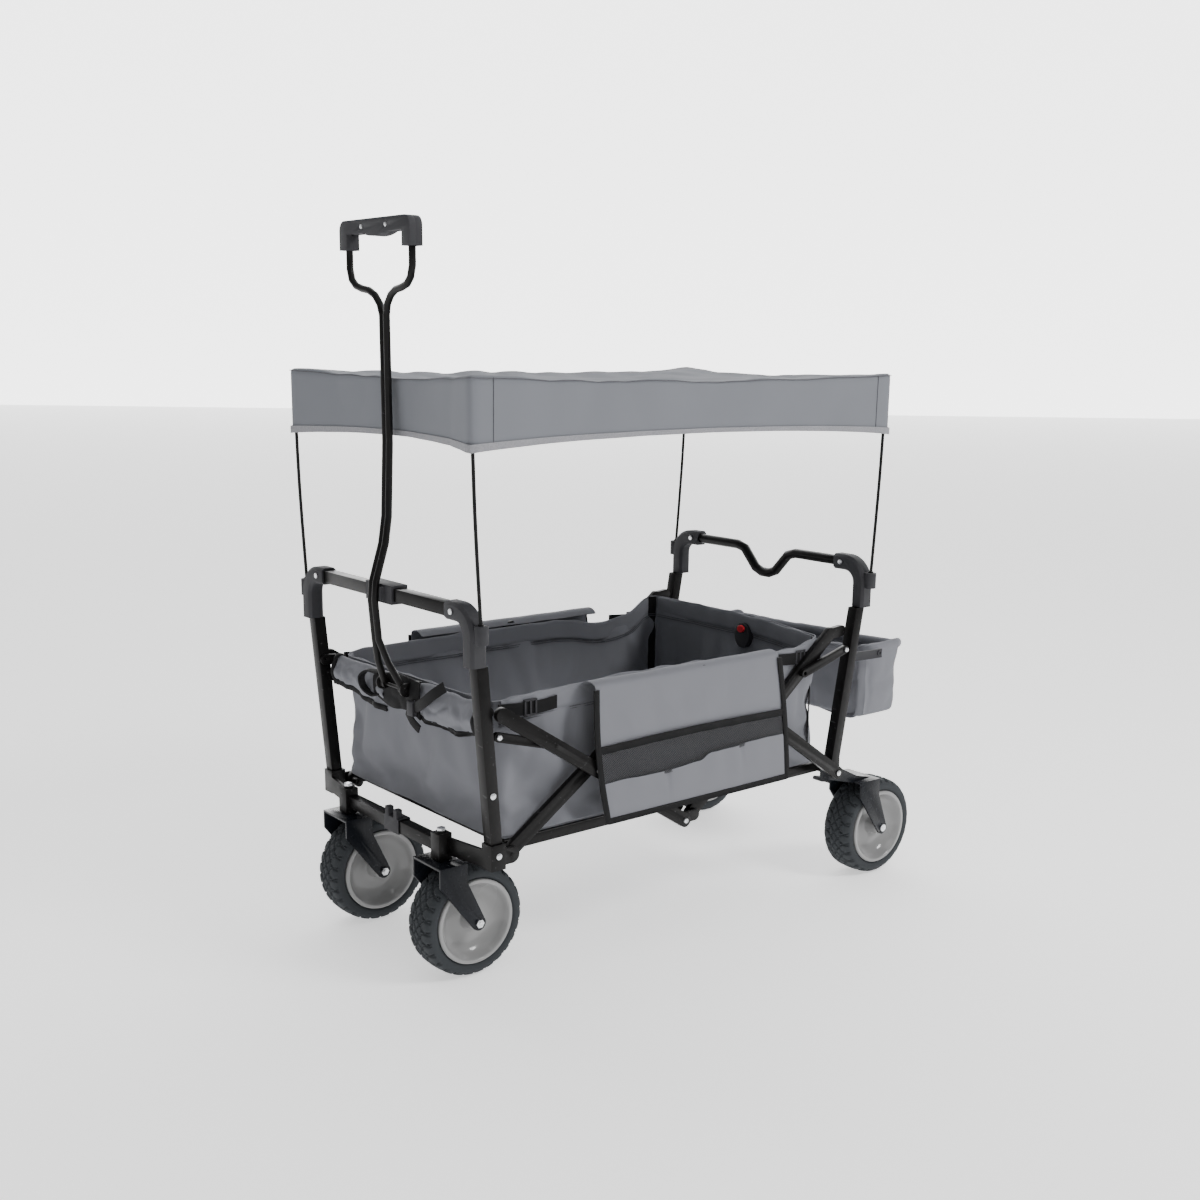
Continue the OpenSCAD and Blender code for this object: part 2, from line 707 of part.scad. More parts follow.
// Padded floor pad that folds in the middle
module floor_liner() {
    color(grey_cloth) translate([pin_front[0], -wall_out + cloth_t + 1, basket_z - cloth_t - 1])
        cube([basket_x1 - pin_front[0] - 5, 2 * (wall_out - cloth_t - 1), cloth_t]);
}

// Flat pocket panels outside the arms
module side_pockets() {
    x0 = front_x + 190;
    x1 = rear_x - 290;
    slope = 26;
    color(grey_cloth) both_sides() in_side(pocket_y, cloth_t)
        polygon([[x0 - 14, rim_z], [x1 - 60 + slope, rim_z], [x1, deck_z + 26], [x0 + 16, deck_z + 22]]);
}

// Webbing straps with ladder locks near the basket rim
module strap(x, z, turn) {
    translate([x, wall_out + 0.3, z]) rotate([0, turn, 0]) {
        translate([-60, 0, -12]) cube([120, 1.6, 24]);
        translate([10, 0, -15]) cube([38, 2, 30]);
    }
}

module front_straps() {
    color(dark_cloth) both_sides() strap(pin_front[0] + 46, rim_z - 20, 4);
}

module rear_straps() {
    color(dark_cloth) both_sides() strap(basket_x1 - 66, rim_z - 22, -6);
}

// ---------------------------------------------------------------- rear bag

bag_x = rear_x - bag_set;
bag_w = 2 * (post_in - 9);
bag_z = deck_z + 76;
module rear_bag() {
    t = cloth_t + 1;
    color(grey_cloth) translate([bag_x + bag_len / 2, 0, bag_z]) difference() {
        linear_extrude(bag_h) round_rect(bag_len, bag_w, 24);
        translate([0, 0, t]) linear_extrude(bag_h) round_rect(bag_len - 2 * t, bag_w - 2 * t, 20);
    }
}

// Rings and straps that hang the bag on the rear posts
hanger_z = bag_z + bag_h - 12;
module bag_hangers() {
    y0 = post_in - 5;
    px = rear_post_x(hanger_z + 12) + post_w / 2 + 0.3;
    color(dark_cloth) both_sides() {
        translate([px + 1, y0, hanger_z - 9]) cube([bag_x + 34 - px, 3, 18]);
        translate([px, y0, hanger_z - 12]) cube([3, 14, 24]);
        translate([bag_x + 24, bag_w / 2, hanger_z - 9]) cube([10, 4.2, 18]);
    }
}

// Belt buckle on the inside of the basket's back wall
buckle_x = basket_x1 - cloth_t - 0.6;
buckle_z = rim_z - 14;
buckle_y = -44;
module belt_buckle() {
    color(dark_cloth) translate([buckle_x, buckle_y, buckle_z]) difference() {
        translate([-14, -21, -30]) cube([14, 42, 52]);
        translate([-15, -10, 2]) cube([11, 20, 16]);
    }
}

module buckle_button() {
    color("#c8202a") translate([buckle_x, buckle_y, buckle_z]) translate([-18, -9.5, 2.5])
        cube([9, 19, 15]);
}

// ---------------------------------------------------------------- pull handle

// One leg of the handle from its pivot up into the grip, on the +Y side
handle_top = pivot[1] + handle_len;
loop_y = loop_w / 2;
grip_x = front_x - 49;
stem_y_off = handle_d / 2 + 0.2;
function leg_points() = [
    [pivot[0], leg_y, pivot[1]],
    [front_x - 60, leg_y - 13, pivot[1] + 47],
    [front_x - 71, stem_y_off, pivot[1] + 87],
    [front_x - 77, stem_y_off, pivot[1] + 155],
    [front_x - 74, stem_y_off, pivot[1] + 186],
    [front_x - 54, stem_y_off, pivot[1] + 250],
    [front_x - 47, stem_y_off, pivot[1] + 295],
    [front_x - 42, stem_y_off, pivot[1] + 420],
    [front_x - 43, stem_y_off, handle_top - 152],
    [front_x - 44, 12, handle_top - 134],
    [front_x - 45, 25, handle_top - 120],
    [front_x - 46, 42, handle_top - 112],
    [front_x - 47, loop_y - 36, handle_top - 109],
    [front_x - 48, loop_y - 18, handle_top - 104],
    [front_x - 49, loop_y - 6, handle_top - 94],
    [grip_x, loop_y, handle_top - 76],
    [grip_x, loop_y, handle_top - 34],
    [grip_x, loop_y - 8, handle_top - 19],
    [grip_x, loop_y - 22, handle_top - 12]];
function other_side(points) = [for (i = [len(points) - 1 : -1 : 0]) [points[i][0], -points[i][1], points[i][2]]];
function loop_points() = concat(leg_points(), other_side(leg_points()));

module handle_tube() {
    r = handle_d / 2;
    color(black) difference() {
        union() {
            bent_bar(loop_points(), r);
            both_sides() cross_pin(pivot, leg_y - r, leg_y + r, r + 1.5);
        }
        cross_pin(pivot, -leg_y - r - 1, leg_y + r + 1, handle_pin_r + run);
    }
}

// Outline of the grip seen along X: straight top, round shoulders, a hand swell below
module grip_outline() {
    h = 22;
    side_h = 47;
    w = loop_w + grip_t;
    difference() {
        translate([0, -side_h / 2]) union() {
            translate([0, -10]) square([w, side_h - 20], center = true);
            translate([0, 5]) round_rect(w, side_h - 10, 16);
        }
        translate([0, -h - side_h]) square([w - 2 * grip_t, 2 * side_h], center = true);
    }
    intersection() {
        translate([0, 112 - h]) circle(r = 118, $fn = 96);
        translate([0, 1 - h]) square([90, 14], center = true);
    }
}

module grip_half(x0, t) {
    color(black) difference() {
        translate([x0, 0, handle_top]) rotate([90, 0, 90]) linear_extrude(t) grip_outline();
        bent_bar([for (p = loop_points()) if (p[2] > handle_top - 80) p], handle_d / 2);
        for (y = [-38, 38]) translate([grip_x - 20, y, handle_top - 12]) rotate([0, 90, 0])
            cylinder(h = 8.5, r = 4);
    }
}

module grip_front() {
    grip_half(grip_x - grip_t / 2, grip_t / 2);
}

module grip_back() {
    grip_half(grip_x, grip_t / 2);
}

module grip_screws() {
    color(steel) for (y = [-38, 38]) translate([grip_x - 12.5, y, handle_top - 12])
        rotate([0, 90, 0]) cylinder(h = 1, r = 3.6);
}

// ---------------------------------------------------------------- folding floor

rail_h = 18;
slat_h = 4;
slat_w = 30;
knuckle_r = pin_r + 4.5;
cut_r = knuckle_r + 0.8;

// slats across the floor, as shares of half its width; the buckle folds in between two
slat_places = [-0.78, -0.36, 0.36, 0.78];
// One half of the floor between its end pin and the centre pin. dir is +1 for the
// front half and -1 for the rear half, which is its mirror about the centre
module floor_half(dir, end_pin, owns_pin) {
    len = half_deck;
    mid_in = owns_pin ? [0, 9.6] : [10.4, 9.6];
    color(black) translate([end_pin[0], 0, deck_z]) scale([dir, 1, 1]) {
        both_sides() {
            difference() {
                union() {
                    translate([0, floor_in, 0]) cube([len - 0.8, rail_w, rail_h]);
                    translate([0, floor_out, 0]) rotate([90, 0, 0]) cylinder(h = rail_w, r = knuckle_r);
                }
                translate([cut_r + 6, floor_in + tube_wall, tube_wall])
                    cube([len - 2 * cut_r - 12, rail_w - 2 * tube_wall, rail_h - 2 * tube_wall]);
                translate([0, floor_out + 1, 0]) rotate([90, 0, 0])
                    cylinder(h = rail_w + 2, r = pin_r + run);
                translate([len, floor_in + (owns_pin ? 9.8 : -1), 0]) rotate([-90, 0, 0])
                    cylinder(h = 11.2, r = cut_r);
                translate([len, floor_in - 1, 0]) rotate([-90, 0, 0])
                    cylinder(h = rail_w + 2, r = owns_pin ? 0.01 : pin_r + run);
            }
            difference() {
                translate([len, floor_in + mid_in[0], 0]) rotate([-90, 0, 0])
                    cylinder(h = mid_in[1], r = knuckle_r);
                if (!owns_pin) translate([len, floor_in - 1, 0]) rotate([-90, 0, 0])
                    cylinder(h = rail_w + 2, r = pin_r + run);
            }
            if (owns_pin) translate([len, floor_in, 0]) rotate([-90, 0, 0])
                cylinder(h = rail_w, r = pin_r);
        }
        for (x = [14, len - 34]) translate([x, -floor_in, 0]) difference() {
            cube([20, 2 * floor_in, rail_h - slat_h]);
            translate([tube_wall, -1, tube_wall])
                cube([20 - 2 * tube_wall, 2 * floor_in + 2, rail_h - slat_h - 2 * tube_wall]);
        }
        for (y = slat_places) translate([14, y * floor_in - slat_w / 2, rail_h - slat_h])
            cube([len - 28, slat_w, slat_h]);
    }
}

module floor_frame_front() {
    floor_half(1, pin_front, true);
}

module floor_frame_rear() {
    floor_half(-1, pin_rear, false);
}

// ---------------------------------------------------------------- scissor arms

hub_t = 5;
hub_y = mid_y + 1.5;

// Front lower arms: inner layer, from the floor pins to the top hubs
module lower_arms_front() {
    color(black) both_sides() {
        arm(pin_front, top_front, inner_arm_y, [pin_front, cross_f], pin_r + run);
        arm_boss(cross_f, inner_arm_y, pin_r + run);
        cross_pin(top_front, inner_arm_y, hub_y + hub_t + 2, pin_r);
    }
}

// Front upper arms: outer layer, from the bottom hubs up towards the posts
module upper_arms_front() {
    color(black) both_sides() {
        arm(low_front, arm_end_f, outer_arm_y, [], pin_r);
        cross_pin(cross_f, inner_arm_y, outer_arm_y + arm_t + 1, pin_r);
        cross_pin(low_front, hub_y - 2, outer_arm_y + arm_t + 1, pin_r);
        cross_pin(link_bolt_f, outer_arm_y - gap + open_gap, outer_arm_y + arm_t + 1, pin_r);
    }
}

// Rear lower arms: outer layer
module lower_arms_rear() {
    color(black) both_sides() {
        arm(pin_rear, top_rear, outer_arm_y, [pin_rear, cross_r], pin_r + run);
        arm_boss(cross_r, outer_arm_y, pin_r + run);
    }
}

// Rear upper arms: inner layer, ending in an elbow cap that points at the post
elbow_len = 30;
module upper_arms_rear() {
    color(black) both_sides() {
        arm(low_rear, arm_end_r, inner_arm_y, [], pin_r);
        in_side(inner_arm_y, arm_t) link_shape(arm_end_r, arm_end_r + [elbow_len, 3], arm_h - 3);
        cross_pin(cross_r, inner_arm_y, outer_arm_y + arm_t + 1, pin_r);
        cross_pin(link_bolt_r, inner_arm_y, inner_arm_y + arm_t + gap - open_gap, pin_r);
    }
}

// Short links between the posts' ears and the upper arms
module link(post_pin, bolt) {
    difference() {
        in_side(mid_y, mid_t) link_shape(post_pin, bolt, 16);
        cross_pin(post_pin, mid_y - 1, mid_y + mid_t + 1, pin_r + run);
        cross_pin(bolt, mid_y - 1, mid_y + mid_t + 1, pin_r + run);
    }
}

module front_links() {
    color(black) both_sides() link(link_post_f, link_bolt_f);
}

module rear_links() {
    color(black) both_sides() link(link_post_r, link_bolt_r);
}

// Hub plates that tie the arms together above and below the floor
module hub(p, q, held) {
    difference() {
        in_side(hub_y, hub_t) link_shape(p, q, 22);
        cross_pin(held, hub_y - 1, hub_y + hub_t + 1, pin_r + run);
    }
}

module top_hubs() {
    color(black) both_sides() hub(top_front, top_rear, top_front);
}

module bottom_hubs() {
    color(black) both_sides() hub(low_front, low_rear, low_front);
}

front_posts();
front_corner_joints();
front_top_bar();
bar_clip();
front_mid_bar();
handle_bracket();
front_axle_tube();
axle_clip();
front_foot_brackets();
caster_housings();
front_screws();
front_canopy_rods();
canopy_cover();
basket_front_panel();
basket_shell();
floor_liner();
side_pockets();
front_straps();
caster_fork(1);  // caster_fork_left
caster_fork(-1);  // caster_fork_right
caster_axle_bolt(1);  // caster_axle_left
caster_axle_bolt(-1);  // caster_axle_right
tyre(front_x, stem_y);  // tyre_front_left
tyre(front_x, -stem_y);  // tyre_front_right
tyre(rear_x, rear_wheel_y);  // tyre_rear_left
tyre(rear_x, -rear_wheel_y);  // tyre_rear_right
rim(front_x, stem_y);  // rim_front_left
rim(front_x, -stem_y);  // rim_front_right
rim(rear_x, rear_wheel_y);  // rim_rear_left
rim(rear_x, -rear_wheel_y);  // rim_rear_right
rear_posts();
rear_corner_joints();
push_bar();
wheel_carriers();
rear_axles();
rear_canopy_rods();
rear_bag();
bag_hangers();
belt_buckle();
rear_screws();
rear_straps();
buckle_button();
brake_pedal(1);  // brake_pedal_left
brake_pedal(-1);  // brake_pedal_right
handle_tube();
grip_front();
grip_back();
grip_screws();
floor_frame_front();
floor_frame_rear();
lower_arms_front();
upper_arms_front();
lower_arms_rear();
upper_arms_rear();
front_links();
rear_links();
top_hubs();
bottom_hubs();
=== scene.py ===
"""Looks of a folding pull wagon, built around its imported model.

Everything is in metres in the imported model's own frame: front is -X, the
right-hand side is -Y, +Z is up, and the ground is z = 0. Metal and plastic
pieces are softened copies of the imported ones; tyres, rims, rods and everything
made of cloth are modelled here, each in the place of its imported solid.
"""

import json
import logging
import math
from dataclasses import dataclass, field
from enum import Enum
from typing import Callable, Iterable, Sequence

import bpy
from mathutils import Matrix, Vector, noise

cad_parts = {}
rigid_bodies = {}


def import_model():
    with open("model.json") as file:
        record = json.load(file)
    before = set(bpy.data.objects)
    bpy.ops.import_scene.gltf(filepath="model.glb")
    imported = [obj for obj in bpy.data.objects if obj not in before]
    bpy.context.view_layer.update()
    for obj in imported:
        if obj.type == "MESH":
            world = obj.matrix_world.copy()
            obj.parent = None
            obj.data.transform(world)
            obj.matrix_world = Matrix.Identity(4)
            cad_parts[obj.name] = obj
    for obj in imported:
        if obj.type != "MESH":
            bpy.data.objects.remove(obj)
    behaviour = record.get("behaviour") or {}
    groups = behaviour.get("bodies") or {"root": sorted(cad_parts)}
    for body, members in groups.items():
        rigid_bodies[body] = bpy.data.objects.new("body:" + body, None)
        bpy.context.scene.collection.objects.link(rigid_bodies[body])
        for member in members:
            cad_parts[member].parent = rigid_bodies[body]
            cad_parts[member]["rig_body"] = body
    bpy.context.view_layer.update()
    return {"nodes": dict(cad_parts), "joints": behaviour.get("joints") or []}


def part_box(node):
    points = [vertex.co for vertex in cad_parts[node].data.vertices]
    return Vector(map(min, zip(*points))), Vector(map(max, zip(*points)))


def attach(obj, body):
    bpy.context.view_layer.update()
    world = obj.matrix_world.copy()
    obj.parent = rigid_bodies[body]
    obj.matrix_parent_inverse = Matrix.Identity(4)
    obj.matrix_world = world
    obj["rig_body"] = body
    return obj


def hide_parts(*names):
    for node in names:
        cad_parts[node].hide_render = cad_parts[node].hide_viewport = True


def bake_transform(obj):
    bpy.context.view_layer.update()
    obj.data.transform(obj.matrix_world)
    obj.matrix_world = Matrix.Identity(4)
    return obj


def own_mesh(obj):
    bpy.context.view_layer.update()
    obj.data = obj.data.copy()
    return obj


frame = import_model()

LOG = logging.getLogger("wagon")
Colour = tuple[float, float, float]
Shape = Callable[[float, float], Vector]
MERGE = 0.00002
UP = Vector((0, 0, 1))
CORNER_STEPS = 5
HEADING_STEP = 0.004
SIDES = {"left": 1, "right": -1}


class Slot(Enum):
    """The record's material slots."""

    STEEL_BLACK = "frame_black"
    PLASTIC = "black_plastic"
    BOLT = "bolt_steel"
    FORK = "fork_black"
    ROD = "rod_black"
    CANVAS = "grey_canvas"
    CANOPY = "canopy_canvas"
    WEBBING = "black_webbing"
    TYRE = "tyre_rubber"
    RIM = "rim_grey"
    RED = "red_plastic"


# ------------------------------------------------------------------ shader tools


class Signal:
    """A shader socket that takes part in ordinary arithmetic."""

    def __init__(self, paint: "Paint", socket: bpy.types.NodeSocket) -> None:
        """Wraps a socket.

        Args:
            paint: The material whose tree the socket belongs to.
            socket: An output socket.
        """
        self.paint = paint
        self.socket = socket

    def _math(self, operation: str, first: "Signal | float", second: "Signal | float" = 0.0) -> "Signal":
        """Adds one Math node.

        Args:
            operation: The node's operation.
            first: Its first value.
            second: Its second value.

        Returns:
            The node's result.
        """
        return self.paint.add("ShaderNodeMath", {"operation": operation}, {0: first, 1: second})

    def __add__(self, other: "Signal | float") -> "Signal":
        """Sum of two values."""
        return self._math("ADD", self, other)

    __radd__ = __add__

    def __sub__(self, other: "Signal | float") -> "Signal":
        """This value less another."""
        return self._math("SUBTRACT", self, other)

    def __mul__(self, other: "Signal | float") -> "Signal":
        """Product of two values."""
        return self._math("MULTIPLY", self, other)

    __rmul__ = __mul__

    def sine(self) -> "Signal":
        """Sine of this value."""
        return self._math("SINE", self)

    def size(self) -> "Signal":
        """This value without its sign."""
        return self._math("ABSOLUTE", self)

    def step(self, low: float, high: float, start: float = 0.0, end: float = 1.0) -> "Signal":
        """Smooth change of a value.

        Args:
            low: Where the change begins.
            high: Where it is complete.
            start: The result up to low.
            end: The result from high on.

        Returns:
            The smoothed value.
        """
        return self.paint.add(
            "ShaderNodeMapRange",
            {"interpolation_type": "SMOOTHSTEP"},
            {0: self, 1: low, 2: high, 3: start, 4: end},
        )


class Paint:
    """One material and the nodes in it."""

    def __init__(self, name: str, transparent: bool = False) -> None:
        """Starts a material with its shader and nothing else.

        Args:
            name: The material's name.
            transparent: Whether light passes through where Alpha is low.
        """
        self.material = bpy.data.materials.new(name)
        self.material.use_nodes = True
        self.tree = self.material.node_tree
        self.shader = self.tree.nodes["Principled BSDF"]
        if transparent:
            self.material.surface_render_method = "DITHERED"

    def add(self, kind: str, settings: dict | None = None, inputs: dict | None = None,
            output: int = 0) -> Signal:
        """Adds a node of any kind.

        Args:
            kind: The node's type.
            settings: Its settings, which are set before its sockets.
            inputs: A value or a signal for each of its sockets that is set.
            output: Which of its outputs is wanted.

        Returns:
            The wanted output.
        """
        node = self.tree.nodes.new(kind)
        for key, value in (settings or {}).items():
            setattr(node, key, value)
        for key, value in (inputs or {}).items():
            if isinstance(value, Signal):
                self.tree.links.new(value.socket, node.inputs[key])
            else:
                node.inputs[key].default_value = value
        return Signal(self, node.outputs[output])

    def position(self) -> Signal:
        """The surface point in the object's own coordinates."""
        return self.add("ShaderNodeTexCoord", output=3)

    def axes(self, vector: Signal) -> list[Signal]:
        """The three parts of a vector.

        Args:
            vector: The vector.

        Returns:
            Its x, y and z.
        """
        parts = self.add("ShaderNodeSeparateXYZ", inputs={0: vector})
        return [Signal(self, socket) for socket in parts.socket.node.outputs]

    def noise(self, scale: float, detail: float = 2.0, stretch: Colour = (1, 1, 1)) -> Signal:
        """A noise value from 0 to 1.

        Args:
            scale: How many features there are to the metre.
            detail: How many finer layers it has.
            stretch: How much each axis is scaled first.

        Returns:
            The noise.
        """
        place = self.add("ShaderNodeMapping", inputs={"Vector": self.position(), "Scale": stretch})
        return self.add("ShaderNodeTexNoise", inputs={"Vector": place, "Scale": scale, "Detail": detail})

    def blend(self, factor: Signal | float, first: Signal | Colour, second: Signal | Colour) -> Signal:
        """Mixes two colours.

        Args:
            factor: 0 for the first, 1 for the second.
            first: A colour.
            second: Another.

        Returns:
            The mixed colour.
        """
        ends = [c if isinstance(c, Signal) else (*c, 1.0) for c in (first, second)]
        return self.add("ShaderNodeMix", {"data_type": "RGBA"}, {0: factor, 6: ends[0], 7: ends[1]}, 2)

    def set(self, **values: "Signal | float | Colour") -> None:
        """Sets the shader's sockets.

        Args:
            **values: A value or signal for each, named with _ for each space.
        """
        for key, value in values.items():
            socket = self.shader.inputs[key.replace("_", " ")]
            if isinstance(value, Signal):
                self.tree.links.new(value.socket, socket)
            elif socket.type == "RGBA":
                socket.default_value = (*value, 1.0)
            else:
                socket.default_value = value

    def relief(self, height: Signal, depth: float, strength: float = 1.0) -> None:
        """Gives the surface a bump.

        Args:
            height: From 0 in the hollows to 1 on the ridges.
            depth: How far apart those are, in metres.
            strength: How much of it shows.
        """
        bump = self.add("ShaderNodeBump", inputs={"Height": height, "Distance": depth, "Strength": strength})
        self.set(Normal=bump)


# ------------------------------------------------------------------ finishes


@dataclass(frozen=True)
class Finish:
    """What a surface is made of. Each kind lays its own nodes."""

    name: str
    slot: Slot
    colour: Colour
    roughness: float = 0.5

    def lay(self, paint: Paint) -> None:
        """Adds the nodes of this finish.

        Args:
            paint: The material to work in.
        """
        raise NotImplementedError

    def material(self) -> bpy.types.Material:
        """The material, made the first time that it is asked for."""
        found = bpy.data.materials.get(self.name)
        if found:
            return found
        paint = Paint(self.name, transparent=isinstance(self, Net))
        self.lay(paint)
        return paint.material


def shade(colour: Colour, factor: float) -> Colour:
    """A colour made darker or lighter.

    Args:
        colour: The colour.
        factor: What its parts are multiplied by.

    Returns:
        The new colour.
    """
    return tuple(min(1.0, part * factor) for part in colour)


@dataclass(frozen=True)
class PowderCoat(Finish):
    """Baked powder paint on steel: orange peel, faint dust and small scuffs."""

    peel: float = 900.0
    scuff: Colour = (0.10, 0.10, 0.105)
    shine: float = 0.16

    def lay(self, paint: Paint) -> None:
        """Adds the nodes of this finish.

        Args:
            paint: The material to work in.
        """
        peel = paint.noise(self.peel, 1.5)
        dust = paint.noise(22.0, 4.0)
        scratch = paint.noise(160.0, 3.0, (1.0, 0.25, 1.0)).step(0.66, 0.74)
        body = paint.blend(dust.step(0.35, 0.75), self.colour, shade(self.colour, 1.5))
        paint.set(Base_Color=paint.blend(scratch * 0.35, body, self.scuff))
        paint.set(Roughness=dust.step(0.3, 0.8, self.roughness - 0.06, self.roughness + 0.1))
        paint.set(Specular_IOR_Level=self.shine)
        paint.relief(peel, 0.00006, 0.5)


@dataclass(frozen=True)
class Moulding(Finish):
    """Injection-moulded plastic with a fine spark-eroded grain."""

    grain: float = 1500.0
    coat: float = 0.0
    shine: float = 0.16

    def lay(self, paint: Paint) -> None:
        """Adds the nodes of this finish.

        Args:
            paint: The material to work in.
        """
        grain = paint.noise(self.grain, 2.0)
        flow = paint.noise(9.0, 2.0, (1.0, 1.0, 0.3))
        paint.set(Base_Color=paint.blend(flow.step(0.3, 0.7), self.colour, shade(self.colour, 1.25)))
        paint.set(Roughness=flow.step(0.3, 0.75, self.roughness - 0.05, self.roughness + 0.07))
        paint.set(Coat_Weight=self.coat, Coat_Roughness=0.08, Specular_IOR_Level=self.shine)
        paint.relief(grain, 0.00004, 0.35)


@dataclass(frozen=True)
class Zinc(Finish):
    """Bright zinc plating with a fine turned grain."""

    def lay(self, paint: Paint) -> None:
        """Adds the nodes of this finish.

        Args:
            paint: The material to work in.
        """
        tarnish = paint.noise(260.0, 3.0)
        turned = paint.noise(2600.0, 1.0, (1.0, 0.1, 1.0))
        paint.set(Base_Color=paint.blend(tarnish.step(0.3, 0.8), self.colour, shade(self.colour, 0.72)))
        paint.set(Metallic=1.0, Roughness=tarnish.step(0.2, 0.9, self.roughness, self.roughness + 0.22))
        paint.relief(turned, 0.00003, 0.4)


@dataclass(frozen=True)
class Canvas(Finish):
    """Coated polyester canvas: a plain weave with painted shade in its hollows, slubs and soft handling
    marks.
    """

    thread: float = 0.0008
    sheen: float = 0.25
    mottle: float = 0.86
    crumple: float = 1.0

    def lay(self, paint: Paint) -> None:
        """Adds the nodes of this finish.

        Args:
            paint: The material to work in.
        """
        pitch = 2 * math.pi / self.thread
        waves = [(axis * pitch).sine() for axis in paint.axes(paint.position())]
        weave = (waves[0] + waves[1] + waves[2]) * 0.17 + 0.5
        warp = paint.noise(240.0, 3.0, (1.0, 1.0, 0.12))
        weft = paint.noise(240.0, 3.0, (0.12, 0.5, 1.0))
        slubs = warp * 0.5 + weft * 0.5
        marks = paint.noise(11.0, 5.0)
        cloth = paint.blend(marks.step(0.32, 0.68), self.colour, shade(self.colour, self.mottle))
        threads = paint.blend(slubs.step(0.38, 0.62), cloth,
                              paint.blend(0.5, cloth, shade(self.colour, 0.62)))
        # Painted shade: the hollows of the weave are darkened towards a dark copy of the cloth colour.
        paint.set(Base_Color=paint.blend(weave.step(0.2, 0.6, 0.16, 0.0), threads, shade(self.colour, 0.45)))
        paint.set(Roughness=marks.step(0.3, 0.7, self.roughness - 0.07, self.roughness + 0.05))
        paint.set(Sheen_Weight=self.sheen, Sheen_Roughness=0.45)
        soft = paint.noise(17.0, 3.0, (1.0, 1.0, 0.7))
        paint.relief(weave * 0.7 + slubs * 0.3 + soft * (26.0 * self.crumple), 0.00018, 0.6)


@dataclass(frozen=True)
class Tape(Finish):
    """Woven tape and webbing: ribs across with painted shade between them, and a soft edge."""

    rib: float = 0.0016
    worn: float = 1.7

    def lay(self, paint: Paint) -> None:
        """Adds the nodes of this finish.

        Args:
            paint: The material to work in.
        """
        pitch = 2 * math.pi / self.rib
        x, y, z = paint.axes(paint.position())
        ribs = ((x + z) * pitch).sine() * 0.25 + ((x - z + y * 0.3) * pitch).sine() * 0.25 + 0.5
        fuzz = paint.noise(420.0, 3.0)
        tone = paint.blend(fuzz.step(0.35, 0.7), self.colour, shade(self.colour, self.worn))
        # Painted shade: the valleys between the ribs are darkened towards a dark copy of the tape colour.
        paint.set(Base_Color=paint.blend(ribs.step(0.1, 0.5, 0.35, 0.0), tone, shade(self.colour, 0.5)))
        paint.set(Roughness=fuzz.step(0.2, 0.8, self.roughness - 0.08, self.roughness + 0.08))
        paint.set(Sheen_Weight=0.03, Specular_IOR_Level=0.2)
        paint.relief(ribs * 0.8 + fuzz * 0.2, 0.0003, 0.6)


@dataclass(frozen=True)
class Net(Finish):
    """Knitted net: slanting cords with open holes between them."""

    hole: float = 0.0060

    def lay(self, paint: Paint) -> None:
        """Adds the nodes of this finish.

        Args:
            paint: The material to work in.
        """
        pitch = 2 * math.pi / self.hole
        x, _, z = paint.axes(paint.position())
        lattice = (((x * 0.8 + z) * pitch).sine() * ((x * 0.8 - z) * pitch).sine()).size()
        fuzz = paint.noise(600.0, 2.0)
        cords = lattice.step(0.22, 0.40, 1.0, 0.0)
        paint.set(Base_Color=paint.blend(fuzz.step(0.3, 0.7), self.colour, shade(self.colour, 2.2)))
        paint.set(Roughness=fuzz.step(0.2, 0.8, self.roughness - 0.1, self.roughness + 0.1))
        paint.set(Alpha=cords)
        paint.relief(lattice.step(0.0, 0.3, 1.0, 0.0), 0.0004, 0.5)


@dataclass(frozen=True)
class Rubber(Finish):
    """Moulded tyre rubber, dulled and a little dusty."""

    def lay(self, paint: Paint) -> None:
        """Adds the nodes of this finish.

        Args:
            paint: The material to work in.
        """
        dust = paint.noise(26.0, 5.0)
        grain = paint.noise(1200.0, 2.0)
        paint.set(Base_Color=paint.blend(dust.step(0.4, 0.75), self.colour, shade(self.colour, 1.8)))
        paint.set(Roughness=dust.step(0.3, 0.8, self.roughness - 0.08, self.roughness + 0.1))
        paint.relief(grain, 0.0001, 0.4)


@dataclass(frozen=True)
class Ground(Finish):
    """Plain pale studio floor, lit from behind like a light table."""

    glow: float = 0.80

    def lay(self, paint: Paint) -> None:
        """Adds the nodes of this finish.

        Args:
            paint: The material to work in.
        """
        paint.set(Base_Color=self.colour, Roughness=self.roughness)
        paint.set(Emission_Color=(1.0, 1.0, 1.0), Emission_Strength=self.glow)


BLACK_STEEL = PowderCoat("black_powder_coat", Slot.STEEL_BLACK, (0.0045, 0.0042, 0.0042), 0.36)
FORK_STEEL = PowderCoat("fork_enamel", Slot.FORK, (0.0065, 0.0075, 0.010), 0.26, 600.0, (0.08, 0.085, 0.10))
ROD_GLASS = Moulding("rod_glass_fibre", Slot.ROD, (0.005, 0.005, 0.0055), 0.42, 700.0)
BLACK_PLASTIC = Moulding("black_plastic", Slot.PLASTIC, (0.0048, 0.0046, 0.0047), 0.38)
GREY_RIM = Moulding("rim_plastic", Slot.RIM, (0.245, 0.245, 0.245), 0.24, 900.0, 0.5)
RED_PLASTIC = Moulding("red_plastic", Slot.RED, (0.62, 0.012, 0.014), 0.30, 1500.0, 0.4)
BRIGHT_ZINC = Zinc("bright_zinc", Slot.BOLT, (0.80, 0.81, 0.83), 0.22)
GREY_CANVAS = Canvas("grey_canvas", Slot.CANVAS, (0.084, 0.082, 0.092), 0.78)
CANOPY_CANVAS = Canvas("canopy_canvas", Slot.CANOPY, (0.070, 0.069, 0.079), 0.82, 0.0007, 0.12, 0.93, 0.6)
HEM_TAPE = Tape("pale_hem_tape", Slot.CANOPY, (0.30, 0.30, 0.32), 0.80, 0.0012, 0.85)
